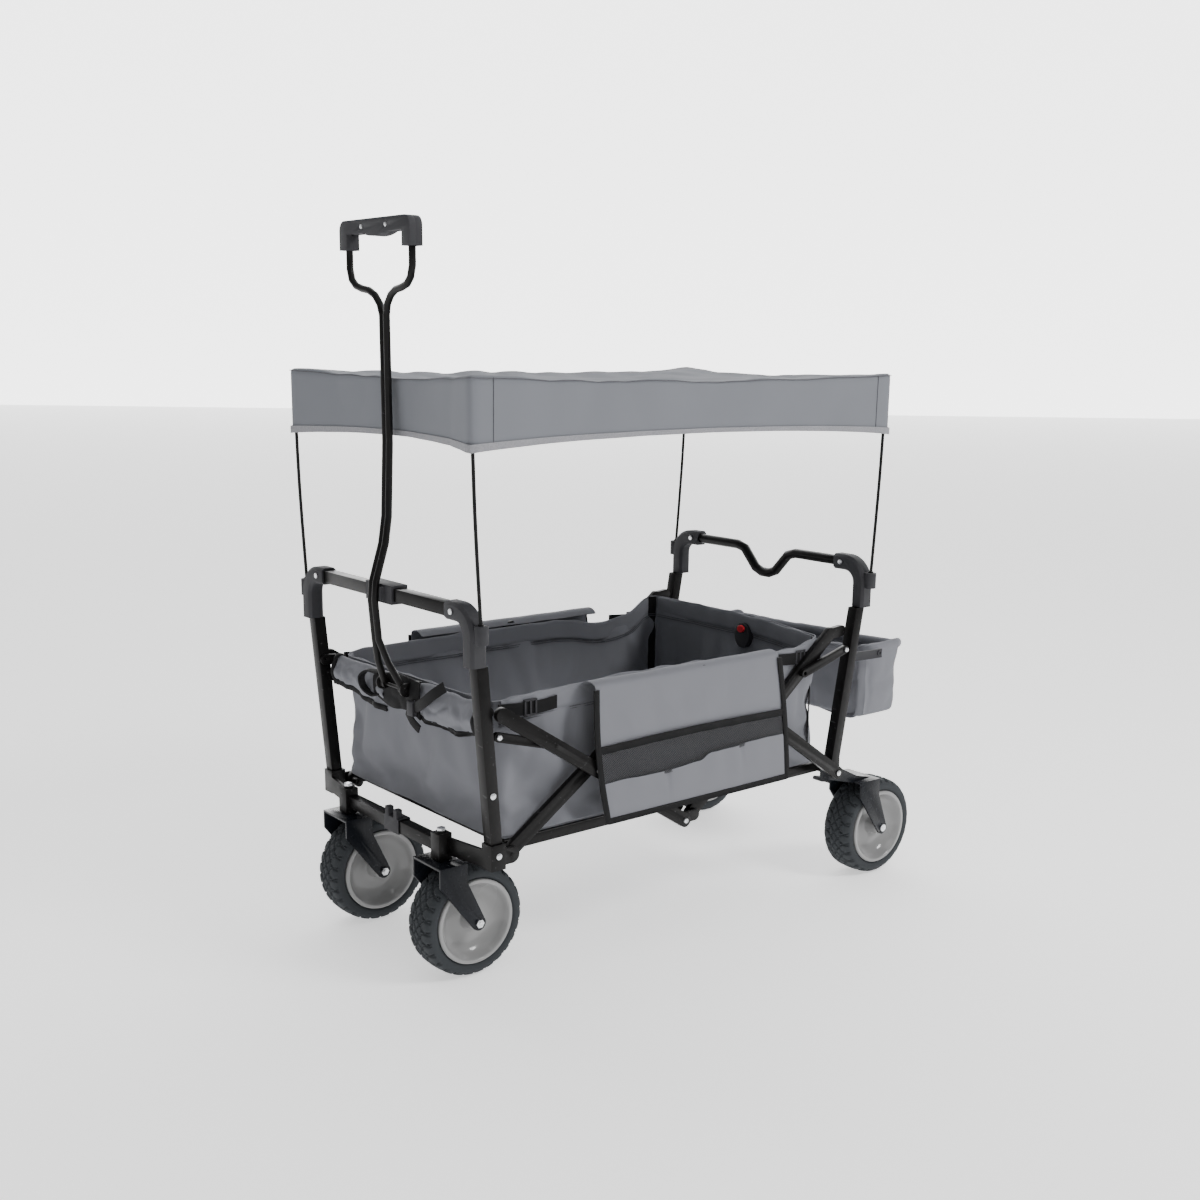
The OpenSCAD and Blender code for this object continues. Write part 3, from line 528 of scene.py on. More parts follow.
GREY_THREAD = Tape("grey_thread", Slot.CANVAS, (0.085, 0.086, 0.095), 0.75, 0.0008, 1.3)
BLACK_TAPE = Tape("black_binding", Slot.WEBBING, (0.0045, 0.0045, 0.005), 0.78)
BLACK_NET = Net("black_net", Slot.WEBBING, (0.006, 0.006, 0.007), 0.7)
TYRE_RUBBER = Rubber("tyre_rubber", Slot.TYRE, (0.010, 0.0105, 0.012), 0.55)
PALE_GROUND = Ground("pale_ground", Slot.CANVAS, (0.86, 0.86, 0.86), 0.9)
PALE_WALL = Ground("pale_wall", Slot.CANVAS, (0.86, 0.86, 0.86), 0.9, 3.0)




# ------------------------------------------------------------------ bench tools


def pick(*objects: bpy.types.Object) -> bpy.types.Object:
    """Selects objects and nothing else, and makes the last one active.

    Args:
        *objects: The objects.

    Returns:
        The active one.
    """
    bpy.ops.object.select_all(action="DESELECT")
    for obj in objects:
        obj.select_set(True)
    bpy.context.view_layer.objects.active = objects[-1]
    return objects[-1]


class Editing:
    """Edit mode on one object, for the length of a with block."""

    def __init__(self, obj: bpy.types.Object, select: str = "SELECT") -> None:
        """Names the object.

        Args:
            obj: The object to edit.
            select: What the block starts with selected, SELECT or DESELECT.
        """
        self.obj = obj
        self.select = select

    def __enter__(self) -> bpy.types.Object:
        """Starts edit mode."""
        pick(self.obj)
        bpy.ops.object.mode_set(mode="EDIT")
        bpy.ops.mesh.select_all(action=self.select)
        return self.obj

    def __exit__(self, *_: object) -> None:
        """Ends edit mode."""
        bpy.ops.object.mode_set(mode="OBJECT")


def modify(obj: bpy.types.Object, kind: str, **settings: object) -> bpy.types.Object:
    """Adds a modifier and applies it.

    Args:
        obj: The object.
        kind: The modifier's type.
        **settings: Its settings.

    Returns:
        The object.
    """
    pick(obj)
    modifier = obj.modifiers.new(kind.title(), kind)
    for key, value in settings.items():
        setattr(modifier, key, value)
    bpy.ops.object.modifier_apply(modifier=modifier.name)
    return obj


def finer(obj: bpy.types.Object, levels: int = 1) -> bpy.types.Object:
    """Smooths a mesh by subdividing it.

    Args:
        obj: The object.
        levels: How many times.

    Returns:
        The object.
    """
    return modify(obj, "SUBSURF", levels=levels, render_levels=levels)


def thicken(obj: bpy.types.Object, thickness: float, offset: float = -1.0,
            even: bool = False) -> bpy.types.Object:
    """Gives a sheet its thickness.

    Args:
        obj: The sheet.
        thickness: How thick it becomes.
        offset: -1 to grow behind its faces, 1 before them, 0 both ways.
        even: Whether it stays as thick round sharp corners.

    Returns:
        The object.
    """
    return modify(obj, "SOLIDIFY", thickness=thickness, offset=offset, use_even_offset=even)


def soften(obj: bpy.types.Object, width: float, segments: int = 2, angle: float = 35.0) -> bpy.types.Object:
    """Rounds the sharp edges of a mesh.

    Args:
        obj: The object.
        width: Width of the rounding.
        segments: How many faces make it up.
        angle: The least angle in degrees of an edge that is rounded.

    Returns:
        The object.
    """
    return modify(obj, "BEVEL", width=width, segments=segments, limit_method="ANGLE",
                  angle_limit=math.radians(angle), use_clamp_overlap=True)


def outward(obj: bpy.types.Object) -> bpy.types.Object:
    """Merges a mesh's doubles and points its faces outwards.

    Args:
        obj: The object.

    Returns:
        The object.
    """
    with Editing(obj):
        bpy.ops.mesh.remove_doubles(threshold=MERGE)
        bpy.ops.mesh.normals_make_consistent(inside=False)
    return obj


def reshape(obj: bpy.types.Object, rule: Callable[[Vector], Vector]) -> bpy.types.Object:
    """Moves each vertex by a rule.

    Args:
        obj: The object.
        rule: Takes a vertex's place and gives its new one.

    Returns:
        The object.
    """
    for vertex in obj.data.vertices:
        vertex.co = rule(vertex.co.copy())
    return obj


def net(name: str, columns: int, rows: int, shape: Shape, closed: bool = False) -> bpy.types.Object:
    """A grid laid over a surface.

    Args:
        name: The new object's name.
        columns: Faces along u.
        rows: Faces along v.
        shape: Gives the place of u and v, each from 0 to 1.
        closed: Whether u = 1 meets u = 0.

    Returns:
        The new object.
    """
    bpy.ops.object.select_all(action="DESELECT")
    bpy.ops.mesh.primitive_grid_add(x_subdivisions=columns, y_subdivisions=rows, size=2)
    obj = bpy.context.object
    obj.name = name
    reshape(obj, lambda p: shape((p.x + 1) / 2, (p.y + 1) / 2))
    if closed:
        with Editing(obj):
            bpy.ops.mesh.remove_doubles(threshold=MERGE)
    return obj


class Track:
    """A smooth line through a few points."""

    def __init__(self, points: Iterable[Sequence[float]], closed: bool = False) -> None:
        """Measures the line.

        Args:
            points: The points that it passes through.
            closed: Whether it returns to its first point.
        """
        self.points = [Vector(p) for p in points]
        self.closed = closed
        if closed:
            self.points.append(self.points[0].copy())
        steps = [(b - a).length for a, b in zip(self.points, self.points[1:])]
        self.marks = [0.0]
        for step in steps:
            self.marks.append(self.marks[-1] + step)
        self.length = self.marks[-1]

    def at(self, t: float) -> Vector:
        """The point at a share of the line's length.

        Args:
            t: From 0 to 1.

        Returns:
            The point.
        """
        last = len(self.points) - 1
        reach = min(max(t, 0.0), 1.0) * self.length
        i = max(k for k in range(last) if self.marks[k] <= reach + 1e-12)
        span = self.marks[i + 1] - self.marks[i]
        s = (reach - self.marks[i]) / span
        before = self.points[i - 1] if i > 0 else self.points[-2 if self.closed else 0]
        after = self.points[i + 2] if i + 2 <= last else self.points[1 if self.closed else last]
        p, q = self.points[i], self.points[i + 1]
        m, n = (q - before) / 2, (after - p) / 2
        return (p * (2 * s**3 - 3 * s**2 + 1) + m * (s**3 - 2 * s**2 + s)
                + q * (3 * s**2 - 2 * s**3) + n * (s**3 - s**2))

    def outward(self, t: float) -> Vector:
        """The way out of a closed level line that runs anticlockwise.

        Args:
            t: From 0 to 1.

        Returns:
            A level unit vector.
        """
        return self.heading(t).cross(UP)

    def heading(self, t: float) -> Vector:
        """The line's direction at a share of its length.

        Args:
            t: From 0 to 1.

        Returns:
            A unit vector.
        """
        low, high = t - HEADING_STEP, t + HEADING_STEP
        if not self.closed:
            low, high = max(0.0, low), min(1.0, high)
        if self.closed:
            low, high = low % 1.0, high % 1.0
        return (self.at(high) - self.at(low)).normalized()


def pipe(name: str, track: Track, radius: float | Callable[[float], float], sides: int = 12,
         steps: int = 40, flat: float = 1.0) -> bpy.types.Object:
    """A round or oval bar along a line, closed at its ends.

    Args:
        name: The new object's name.
        track: The line.
        radius: The bar's radius, or its rule along the line.
        sides: Faces around it.
        steps: Faces along it.
        flat: Its thickness as a share of its width.

    Returns:
        The new object.
    """
    rule = radius if callable(radius) else (lambda _: radius)

    def shape(u: float, v: float) -> Vector:
        """Place on the bar's skin.

        Args:
            u: Share of the way round.
            v: Share of the way along.

        Returns:
            The place.
        """
        forward = track.heading(v)
        guide = UP if abs(forward.z) < 0.9 else Vector((0, 1, 0))
        side = forward.cross(guide).normalized()
        up = side.cross(forward)
        turn = 2 * math.pi * u
        return track.at(v) + (side * math.cos(turn) + up * math.sin(turn) * flat) * rule(v)

    obj = net(name, sides, steps, shape, closed=True)
    if not track.closed:
        with Editing(obj, "DESELECT"):
            bpy.ops.mesh.select_mode(type="EDGE")
            bpy.ops.mesh.select_non_manifold(extend=False)
            bpy.ops.mesh.edge_face_add()
            bpy.ops.mesh.select_mode(type="FACE")
    return outward(obj)


def strip(name: str, track: Track, width: float, across: Callable[[float], Vector], thickness: float,
          steps: int = 40) -> bpy.types.Object:
    """A flat tape along a line.

    Args:
        name: The new object's name.
        track: The line of its middle.
        width: Its width.
        across: The direction of its width at a share of the line.
        thickness: Its thickness.
        steps: Faces along it.

    Returns:
        The new object.
    """
    def shape(u: float, v: float) -> Vector:
        """Place on the tape.

        Args:
            u: Share of the way across.
            v: Share of the way along.

        Returns:
            The place.
        """
        crown = thickness * 0.3 * (1 - (2 * u - 1) ** 2)
        side = across(v).normalized()
        return track.at(v) + side * (u - 0.5) * width + side.cross(track.heading(v)) * crown

    obj = net(name, 4, steps, shape, closed=track.closed)
    thicken(obj, thickness, 0.0)
    return outward(obj)


def block(name: str, low: Sequence[float], high: Sequence[float], edge: float,
          dish: float = 0.0) -> bpy.types.Object:
    """A moulded block with rounded edges and, if wanted, a sunk panel on each end of Y.

    Args:
        name: The new object's name.
        low: Its lowest corner.
        high: Its highest corner.
        edge: Width of the rounding.
        dish: Depth of the sunk panels.

    Returns:
        The new object.
    """
    low, high = Vector(low), Vector(high)
    bpy.ops.object.select_all(action="DESELECT")
    bpy.ops.mesh.primitive_cube_add(size=1, location=(low + high) / 2, scale=high - low)
    obj = bpy.context.object
    obj.name = name
    bpy.ops.object.transform_apply(location=True, rotation=True, scale=True)
    if dish:
        for direction in (-1, 1):
            sink(obj, Vector((0, direction, 0)), min(high - low) * 0.22, dish)
    return soften(obj, edge)


def sink(obj: bpy.types.Object, normal: Vector, border: float, depth: float) -> bpy.types.Object:
    """Insets the faces that look one way and pushes them in.

    Args:
        obj: The object.
        normal: The way that they look.
        border: Width of the rim that is left.
        depth: How far in they go.

    Returns:
        The object.
    """
    for face in obj.data.polygons:
        face.select = face.normal.dot(normal) > 0.95
    for part in (*obj.data.edges, *obj.data.vertices):
        part.select = False
    pick(obj)
    bpy.ops.object.mode_set(mode="EDIT")
    bpy.ops.mesh.select_mode(type="FACE")
    bpy.ops.object.mode_set(mode="OBJECT")
    for face in obj.data.polygons:
        face.select = face.normal.dot(normal) > 0.95
    bpy.ops.object.mode_set(mode="EDIT")
    bpy.ops.mesh.inset(thickness=border, depth=0)
    bpy.ops.transform.translate(value=-normal * depth)
    bpy.ops.object.mode_set(mode="OBJECT")
    return obj


def lathe(name: str, outline: Sequence[tuple[float, float]], centre: Vector, steps: int = 96,
          levels: int = 0) -> bpy.types.Object:
    """A closed outline spun about an axle along Y.

    Args:
        name: The new object's name.
        outline: Radius and place along the axle of each corner, in order.
        centre: The middle of the axle.
        steps: Faces around it.
        levels: How many times it is subdivided.

    Returns:
        The new object.
    """
    count = len(outline)
    bpy.ops.object.select_all(action="DESELECT")
    bpy.ops.mesh.primitive_circle_add(vertices=count, radius=1)
    obj = bpy.context.object
    obj.name = name
    for vertex, (radius, along) in zip(obj.data.vertices, outline):
        vertex.co = Vector((radius, along, 0))
    with Editing(obj):
        bpy.ops.mesh.spin(steps=steps, angle=2 * math.pi, center=(0, 0, 0), axis=(0, 1, 0))
    obj.data.transform(Matrix.Translation(centre))
    outward(obj)
    return finer(obj, levels) if levels else obj


def joined(name: str, parts: Sequence[bpy.types.Object]) -> bpy.types.Object:
    """Makes one object of several.

    Args:
        name: Its name.
        parts: The objects.

    Returns:
        The one object.
    """
    pick(*parts)
    if len(parts) > 1:
        bpy.ops.object.join()
    obj = bpy.context.object
    obj.name = name
    return obj


def copied(obj: bpy.types.Object, name: str, matrix: Matrix) -> bpy.types.Object:
    """A copy with its own mesh, moved within it.

    Args:
        obj: The object to copy.
        name: The copy's name.
        matrix: How the copy's mesh is moved.

    Returns:
        The copy.
    """
    pick(obj)
    bpy.ops.object.duplicate()
    copy = bpy.context.object
    copy.name = name
    copy.data.transform(matrix)
    if matrix.determinant() < 0:
        with Editing(copy):
            bpy.ops.mesh.flip_normals()
    return copy


MIRROR = Matrix.Scale(-1, 4, (0, 1, 0))


def soft_copy(node: str, width: float, segments: int = 2) -> bpy.types.Object:
    """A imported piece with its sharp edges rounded.

    Args:
        node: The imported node.
        width: Width of the rounding.
        segments: How many faces make it up.

    Returns:
        The new object.
    """
    original = frame["nodes"][node]
    obj = bpy.data.objects.new("soft_" + node, original.data.copy())
    bpy.context.scene.collection.objects.link(obj)
    obj.data.materials.clear()
    with Editing(obj):
        bpy.ops.mesh.remove_doubles(threshold=MERGE)
        bpy.ops.mesh.customdata_custom_splitnormals_clear()
        bpy.ops.mesh.dissolve_limited(angle_limit=math.radians(1.0))
    if width:
        soften(obj, width, segments)
    with Editing(obj):
        bpy.ops.mesh.remove_doubles(threshold=MERGE / 4)
    return obj


def carry(obj: bpy.types.Object, finish: Finish, body: str, stands_for: Sequence[str] = (),
          angle: float = 40.0) -> bpy.types.Object:
    """Dresses a finished piece and puts it on its body.

    Args:
        obj: The piece.
        finish: What it is made of.
        body: The body that it moves with.
        stands_for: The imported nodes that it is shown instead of.
        angle: The greatest angle in degrees that is shaded smooth.

    Returns:
        The piece.
    """
    obj.data.materials.clear()
    obj.data.materials.append(finish.material())
    pick(obj)
    bpy.ops.object.shade_smooth_by_angle(angle=math.radians(angle))
    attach(obj, body)
    if stands_for:
        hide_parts(*stands_for)
    return obj


def body_of(node: str) -> str:
    """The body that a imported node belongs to."""
    return frame["nodes"][node]["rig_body"]


def hinge(joint: str) -> Vector:
    """Where a joint's axis passes at rest."""
    return Vector(next(j["pos_m"] for j in frame["joints"] if j["name"] == joint))


def ripple(point: Vector, scale: float, seed: float = 0.0) -> float:
    """A smooth random value from -1 to 1 that is the same each run.

    Args:
        point: Where it is wanted.
        scale: Metres from one feature to the next.
        seed: Picks another pattern.

    Returns:
        The value.
    """
    return noise.noise(point / scale + Vector((seed, seed * 1.7, seed * 2.3)))


def crease(point: Vector, scale: float, seed: float = 0.0) -> float:
    """A random value from 0 to 1 that rises to narrow ridges."""
    return (1.0 - abs(ripple(point, scale, seed)) * 2.2) if abs(ripple(point, scale, seed)) < 0.45 else 0.0


def round_corners(x0: float, x1: float, w: float, r: float) -> list[tuple[float, float, float]]:
    """Points on the four rounded corners of a rectangle, anticlockwise from its front right.

    Args:
        x0: Its front.
        x1: Its rear.
        w: Half its width.
        r: Radius of its corners.

    Returns:
        The points of one corner after another.
    """
    centres = ((x0 + r, -w + r, 180), (x1 - r, -w + r, 270), (x1 - r, w - r, 0), (x0 + r, w - r, 90))
    points = []
    for cx, cy, start in centres:
        for k in range(CORNER_STEPS):
            angle = math.radians(start + 22.5 * k)
            points.append((cx + r * math.cos(angle), cy + r * math.sin(angle), 0))
    return points


def rise(value: float, low: float, high: float) -> float:
    """0 up to low, 1 from high on, and a smooth change between."""
    t = min(max((value - low) / (high - low), 0.0), 1.0)
    return t * t * (3 - 2 * t)


@dataclass(frozen=True)
class Drape:
    """A short cloth simulation."""

    frames: int = 24
    quality: int = 6
    weight: float = 0.25
    stiffness: float = 18.0
    bending: float = 0.6
    gravity: float = 0.4
    pressure: float = 0.0
    growth: float = 0.0
    cap: float = 0.012

    def run(self, obj: bpy.types.Object, held: Callable[[Vector], float],
            bound: Callable[[Vector, Vector], Vector] | None = None) -> bpy.types.Object:
        """Lets a mesh settle and keeps the result.

        Args:
            obj: The mesh.
            held: How firmly each point is held, from 0 to 1.
            bound: Takes a point's first and settled places and gives an allowed one.

        Returns:
            The object.
        """
        first = [v.co.copy() for v in obj.data.vertices]
        group = obj.vertex_groups.new(name="held")
        for i, place in enumerate(first):
            group.add([i], held(place), "REPLACE")
        pick(obj)
        modifier = obj.modifiers.new("Cloth", "CLOTH")
        cloth = modifier.settings
        cloth.quality = self.quality
        cloth.mass = self.weight
        cloth.tension_stiffness = cloth.compression_stiffness = self.stiffness
        cloth.shear_stiffness = self.stiffness * 0.6
        cloth.bending_stiffness = self.bending
        cloth.vertex_group_mass = group.name
        cloth.effector_weights.gravity = self.gravity
        cloth.shrink_min = -self.growth
        if self.pressure:
            cloth.use_pressure = True
            cloth.uniform_pressure_force = self.pressure
        modifier.point_cache.frame_start = 1
        modifier.point_cache.frame_end = self.frames
        scene = bpy.context.scene
        for step in range(1, self.frames + 1):
            scene.frame_set(step)
        bpy.ops.object.modifier_apply(modifier=modifier.name)
        scene.frame_set(1)
        obj.vertex_groups.remove(obj.vertex_groups["held"])
        for vertex, start in zip(obj.data.vertices, first):
            move = vertex.co - start
            if move.length > self.cap:
                move *= self.cap / move.length
            place = start + move
            vertex.co = bound(start, place) if bound else place
        return obj




# ------------------------------------------------------------------ steel and plastic


@dataclass
class HardParts:
    """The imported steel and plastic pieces, with rounded edges and their finishes."""

    tube_edge: float = 0.0016
    plate_edge: float = 0.0007
    moulded_edge: float = 0.0025
    tubes: tuple[str, ...] = (
        "front_posts", "rear_posts", "front_top_bar", "front_axle_tube", "caster_housings",
        "lower_arms_front", "upper_arms_front", "lower_arms_rear", "upper_arms_rear",
        "floor_frame_front", "floor_frame_rear")
    plates: tuple[str, ...] = (
        "handle_bracket", "front_mid_bar", "front_links", "rear_links", "top_hubs", "bottom_hubs",
        "front_foot_brackets")
    forks: tuple[str, ...] = ("caster_fork_left", "caster_fork_right", "wheel_carriers")
    mouldings: tuple[str, ...] = (
        "front_corner_joints", "rear_corner_joints", "bar_clip", "axle_clip", "brake_pedal_left",
        "brake_pedal_right", "grip_front", "grip_back")
    bolts: tuple[str, ...] = (
        "front_screws", "rear_screws", "grip_screws", "rear_axles", "caster_axle_left",
        "caster_axle_right")
    bent: tuple[str, ...] = ("handle_tube", "push_bar")

    def build(self) -> None:
        """Makes the rounded copies."""
        groups = (
            (self.tubes, self.tube_edge, BLACK_STEEL),
            (self.plates, self.plate_edge, BLACK_STEEL),
            (self.forks, self.plate_edge, FORK_STEEL),
            (self.mouldings, self.moulded_edge, BLACK_PLASTIC),
            (self.bolts, self.plate_edge / 2, BRIGHT_ZINC),
            (self.bent, 0.0, BLACK_STEEL),
        )
        for nodes, edge, finish in groups:
            for node in nodes:
                carry(soft_copy(node, edge), finish, body_of(node), [node])


@dataclass
class Rivets:
    """Domed rivets over the pins of the arms and links."""

    radius: float = 0.0050
    height: float = 0.0026
    proud: float = 0.0002

    def pattern(self) -> bpy.types.Object:
        """One rivet at the origin, standing along Y, with a struck centre."""
        outline = [(0.0004, -0.001), (self.radius, -0.001), (self.radius, self.height * 0.3),
                   (self.radius * 0.8, self.height * 0.85), (self.radius * 0.38, self.height),
                   (self.radius * 0.3, self.height * 0.6), (0.0004, self.height * 0.6)]
        return lathe("rivet", outline, Vector((0, 0, 0)), 20)

    def build(self) -> None:
        """Puts a rivet over each pin, on both sides."""
        rivet = self.pattern()
        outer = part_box("lower_arms_rear")[1].y + self.proud
        bolts = {
            "upper_arms_front": [(hinge("upper_arms_front_fold"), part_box("upper_arms_front")[1].y),
                                 (hinge("bottom_hubs_fold"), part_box("upper_arms_front")[1].y)],
            "lower_arms_rear": [(hinge("upper_arms_rear_fold"), outer)],
            "front_links": [(hinge("links_front_fold"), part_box("front_posts")[1].y)],
            "rear_links": [(hinge("links_rear_fold"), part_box("rear_posts")[1].y)],
        }
        bodies = {"front_links": "front_frame", "rear_links": "rear_frame"}
        for node, places in bolts.items():
            parts = []
            for pin, face in places:
                for side in (1, -1):
                    turn = Matrix.Identity(4) if side > 0 else MIRROR
                    parts.append(copied(rivet, "rivet_part",
                                        Matrix.Translation((pin.x, side * face, pin.z)) @ turn))
            carry(joined(f"rivets_{node}", parts), BRIGHT_ZINC, bodies.get(node, body_of(node)))
        bpy.data.objects.remove(rivet)


@dataclass
class CanopyRods:
    """Glass-fibre rods, slightly bowed by the pull of the cover."""

    bow: float = 0.007
    radius: float = 0.003
    collar_radius: float = 0.0062

    def build(self) -> None:
        """Replaces the straight rods."""
        for node, outward_x in (("front_canopy_rods", -1), ("rear_canopy_rods", 1)):
            low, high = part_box(node)
            foot_x, top_x = (high.x, low.x) if outward_x < 0 else (low.x, high.x)
            foot_x += outward_x * self.radius
            top_x -= outward_x * self.radius
            rod_y = high.y - self.radius
            parts = []
            for side in (1, -1):
                middle = Vector(((foot_x + top_x) / 2 + outward_x * self.bow * 0.4, side * (rod_y - 0.001),
                                 (low.z + high.z) / 2))
                track = Track([(foot_x, side * rod_y, low.z + 0.001), middle,
                               (top_x, side * (rod_y - 0.002), high.z)])
                parts.append(pipe("rod", track, self.radius, 14, 30))
                collar = Track([track.at(0.045), track.at(0.085)])
                parts.append(pipe("collar", collar, lambda v: self.collar_radius * (1 - 0.25 * v), 18, 4))
            carry(joined(node.replace("canopy_", "cover_"), parts), ROD_GLASS, body_of(node), [node])


# ------------------------------------------------------------------ wheels


@dataclass
class Wheels:
    """Four foam-filled tyres with a lattice tread on glossy dished rims."""

    half_width: float = 0.034
    blocks: int = 28
    groove: float = 0.0030
    columns: int = 336
    rows: int = 46

    def carcass(self, outer: float, bead: float) -> Track:
        """The tyre's cross-section.

        Args:
            outer: Radius of the tread.
            bead: Radius where it meets the rim.

        Returns:
            A line from bead to bead; x is the radius and y the place along the axle.
        """
        w = self.half_width
        half = [(bead + 0.001, 0.80 * w), (bead + 0.006, 0.97 * w), (bead + 0.014, w),
                (outer - 0.0065, 0.93 * w), (outer - 0.0022, 0.76 * w), (outer - 0.0006, 0.45 * w)]
        return Track([(r, -y, 0) for r, y in half] + [(outer, 0, 0)] + [(r, y, 0) for r, y in reversed(half)])

    def tread(self, turn: float, across: float) -> float:
        """How deep the tread is cut.

        Args:
            turn: Share of the way round.
            across: -1 to 1 across the tyre.

        Returns:
            0 on a block, 1 at the bottom of a groove.
        """
        if abs(across) > 0.97:
            return 0.0
        depth = 0.0
        for lean in (1, -1):
            phase = turn * self.blocks + lean * (1.15 * across + 0.30 * math.sin(math.pi * across))
            gap = abs((phase % 1.0) - 0.5) * 2
            depth = max(depth, rise(gap, 0.78, 0.92))
        rib = rise(abs(abs(across) - 0.34), 0.055, 0.02)
        return max(depth * rise(abs(across), 0.99, 0.90), rib * 0.75)

    def tyre(self, outer: float, bead: float) -> bpy.types.Object:
        """One tyre about the origin.

        Args:
            outer: Radius of the tread.
            bead: Radius where it meets the rim.

        Returns:
            The tyre.
        """
        section = self.carcass(outer, bead)

        def shape(u: float, v: float) -> Vector:
            """Place on the tyre.

            Args:
                u: Share of the way round.
                v: Share of the way from bead to bead.

            Returns:
                The place.
            """
            point = section.at(v)
            across = point.y / self.half_width
            cut = self.tread(u, across) * rise(point.x, outer - 0.012, outer - 0.006)
            radius = point.x - self.groove * cut
            angle = 2 * math.pi * u
            return Vector((radius * math.cos(angle), point.y, radius * math.sin(angle)))

        obj = net("tyre", self.columns, self.rows, shape, closed=True)
        return outward(obj)

    def rim(self, bead: float) -> bpy.types.Object:
        """One rim about the origin.

        Args:
            bead: Radius where the tyre sits.

        Returns:
            The rim.
        """
        w = self.half_width
        half = [(0.0046, w + 0.0028), (0.0125, w + 0.0028), (0.0150, w + 0.0008), (0.0160, 0.0230),
                (0.0200, 0.0125), (0.0300, 0.0085), (0.0440, 0.0100), (0.0560, 0.0150),
                (bead - 0.0085, 0.0250), (bead - 0.0060, w - 0.0010), (bead - 0.0040, w + 0.0012),
                (bead + 0.0010, w + 0.0016), (bead + 0.0026, w - 0.0004), (bead + 0.0020, w - 0.0060),
                (bead - 0.0004, w - 0.0075)]
        outline = half + [(r, -y) for r, y in reversed(half)]
        obj = lathe("rim", outline, Vector((0, 0, 0)), 96)
        return soften(obj, 0.0006, 2, 30)

    def build(self) -> None:
        """Places the four wheels."""
        low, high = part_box("tyre_front_left")
        outer = (high.z - low.z) / 2
        bead = 0.073
        tyre, rim = self.tyre(outer, bead), self.rim(bead)
        for end in ("front", "rear"):
            for side in SIDES:
                node = f"tyre_{end}_{side}"
                place = Matrix.Translation(sum(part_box(node), Vector()) / 2)
                carry(copied(tyre, f"treaded_{node}", place), TYRE_RUBBER, body_of(node), [node])
                node = f"rim_{end}_{side}"
                carry(copied(rim, f"glossy_{node}", place), GREY_RIM, body_of(node), [node])
        bpy.data.objects.remove(tyre)
        bpy.data.objects.remove(rim)


# ------------------------------------------------------------------ sun canopy


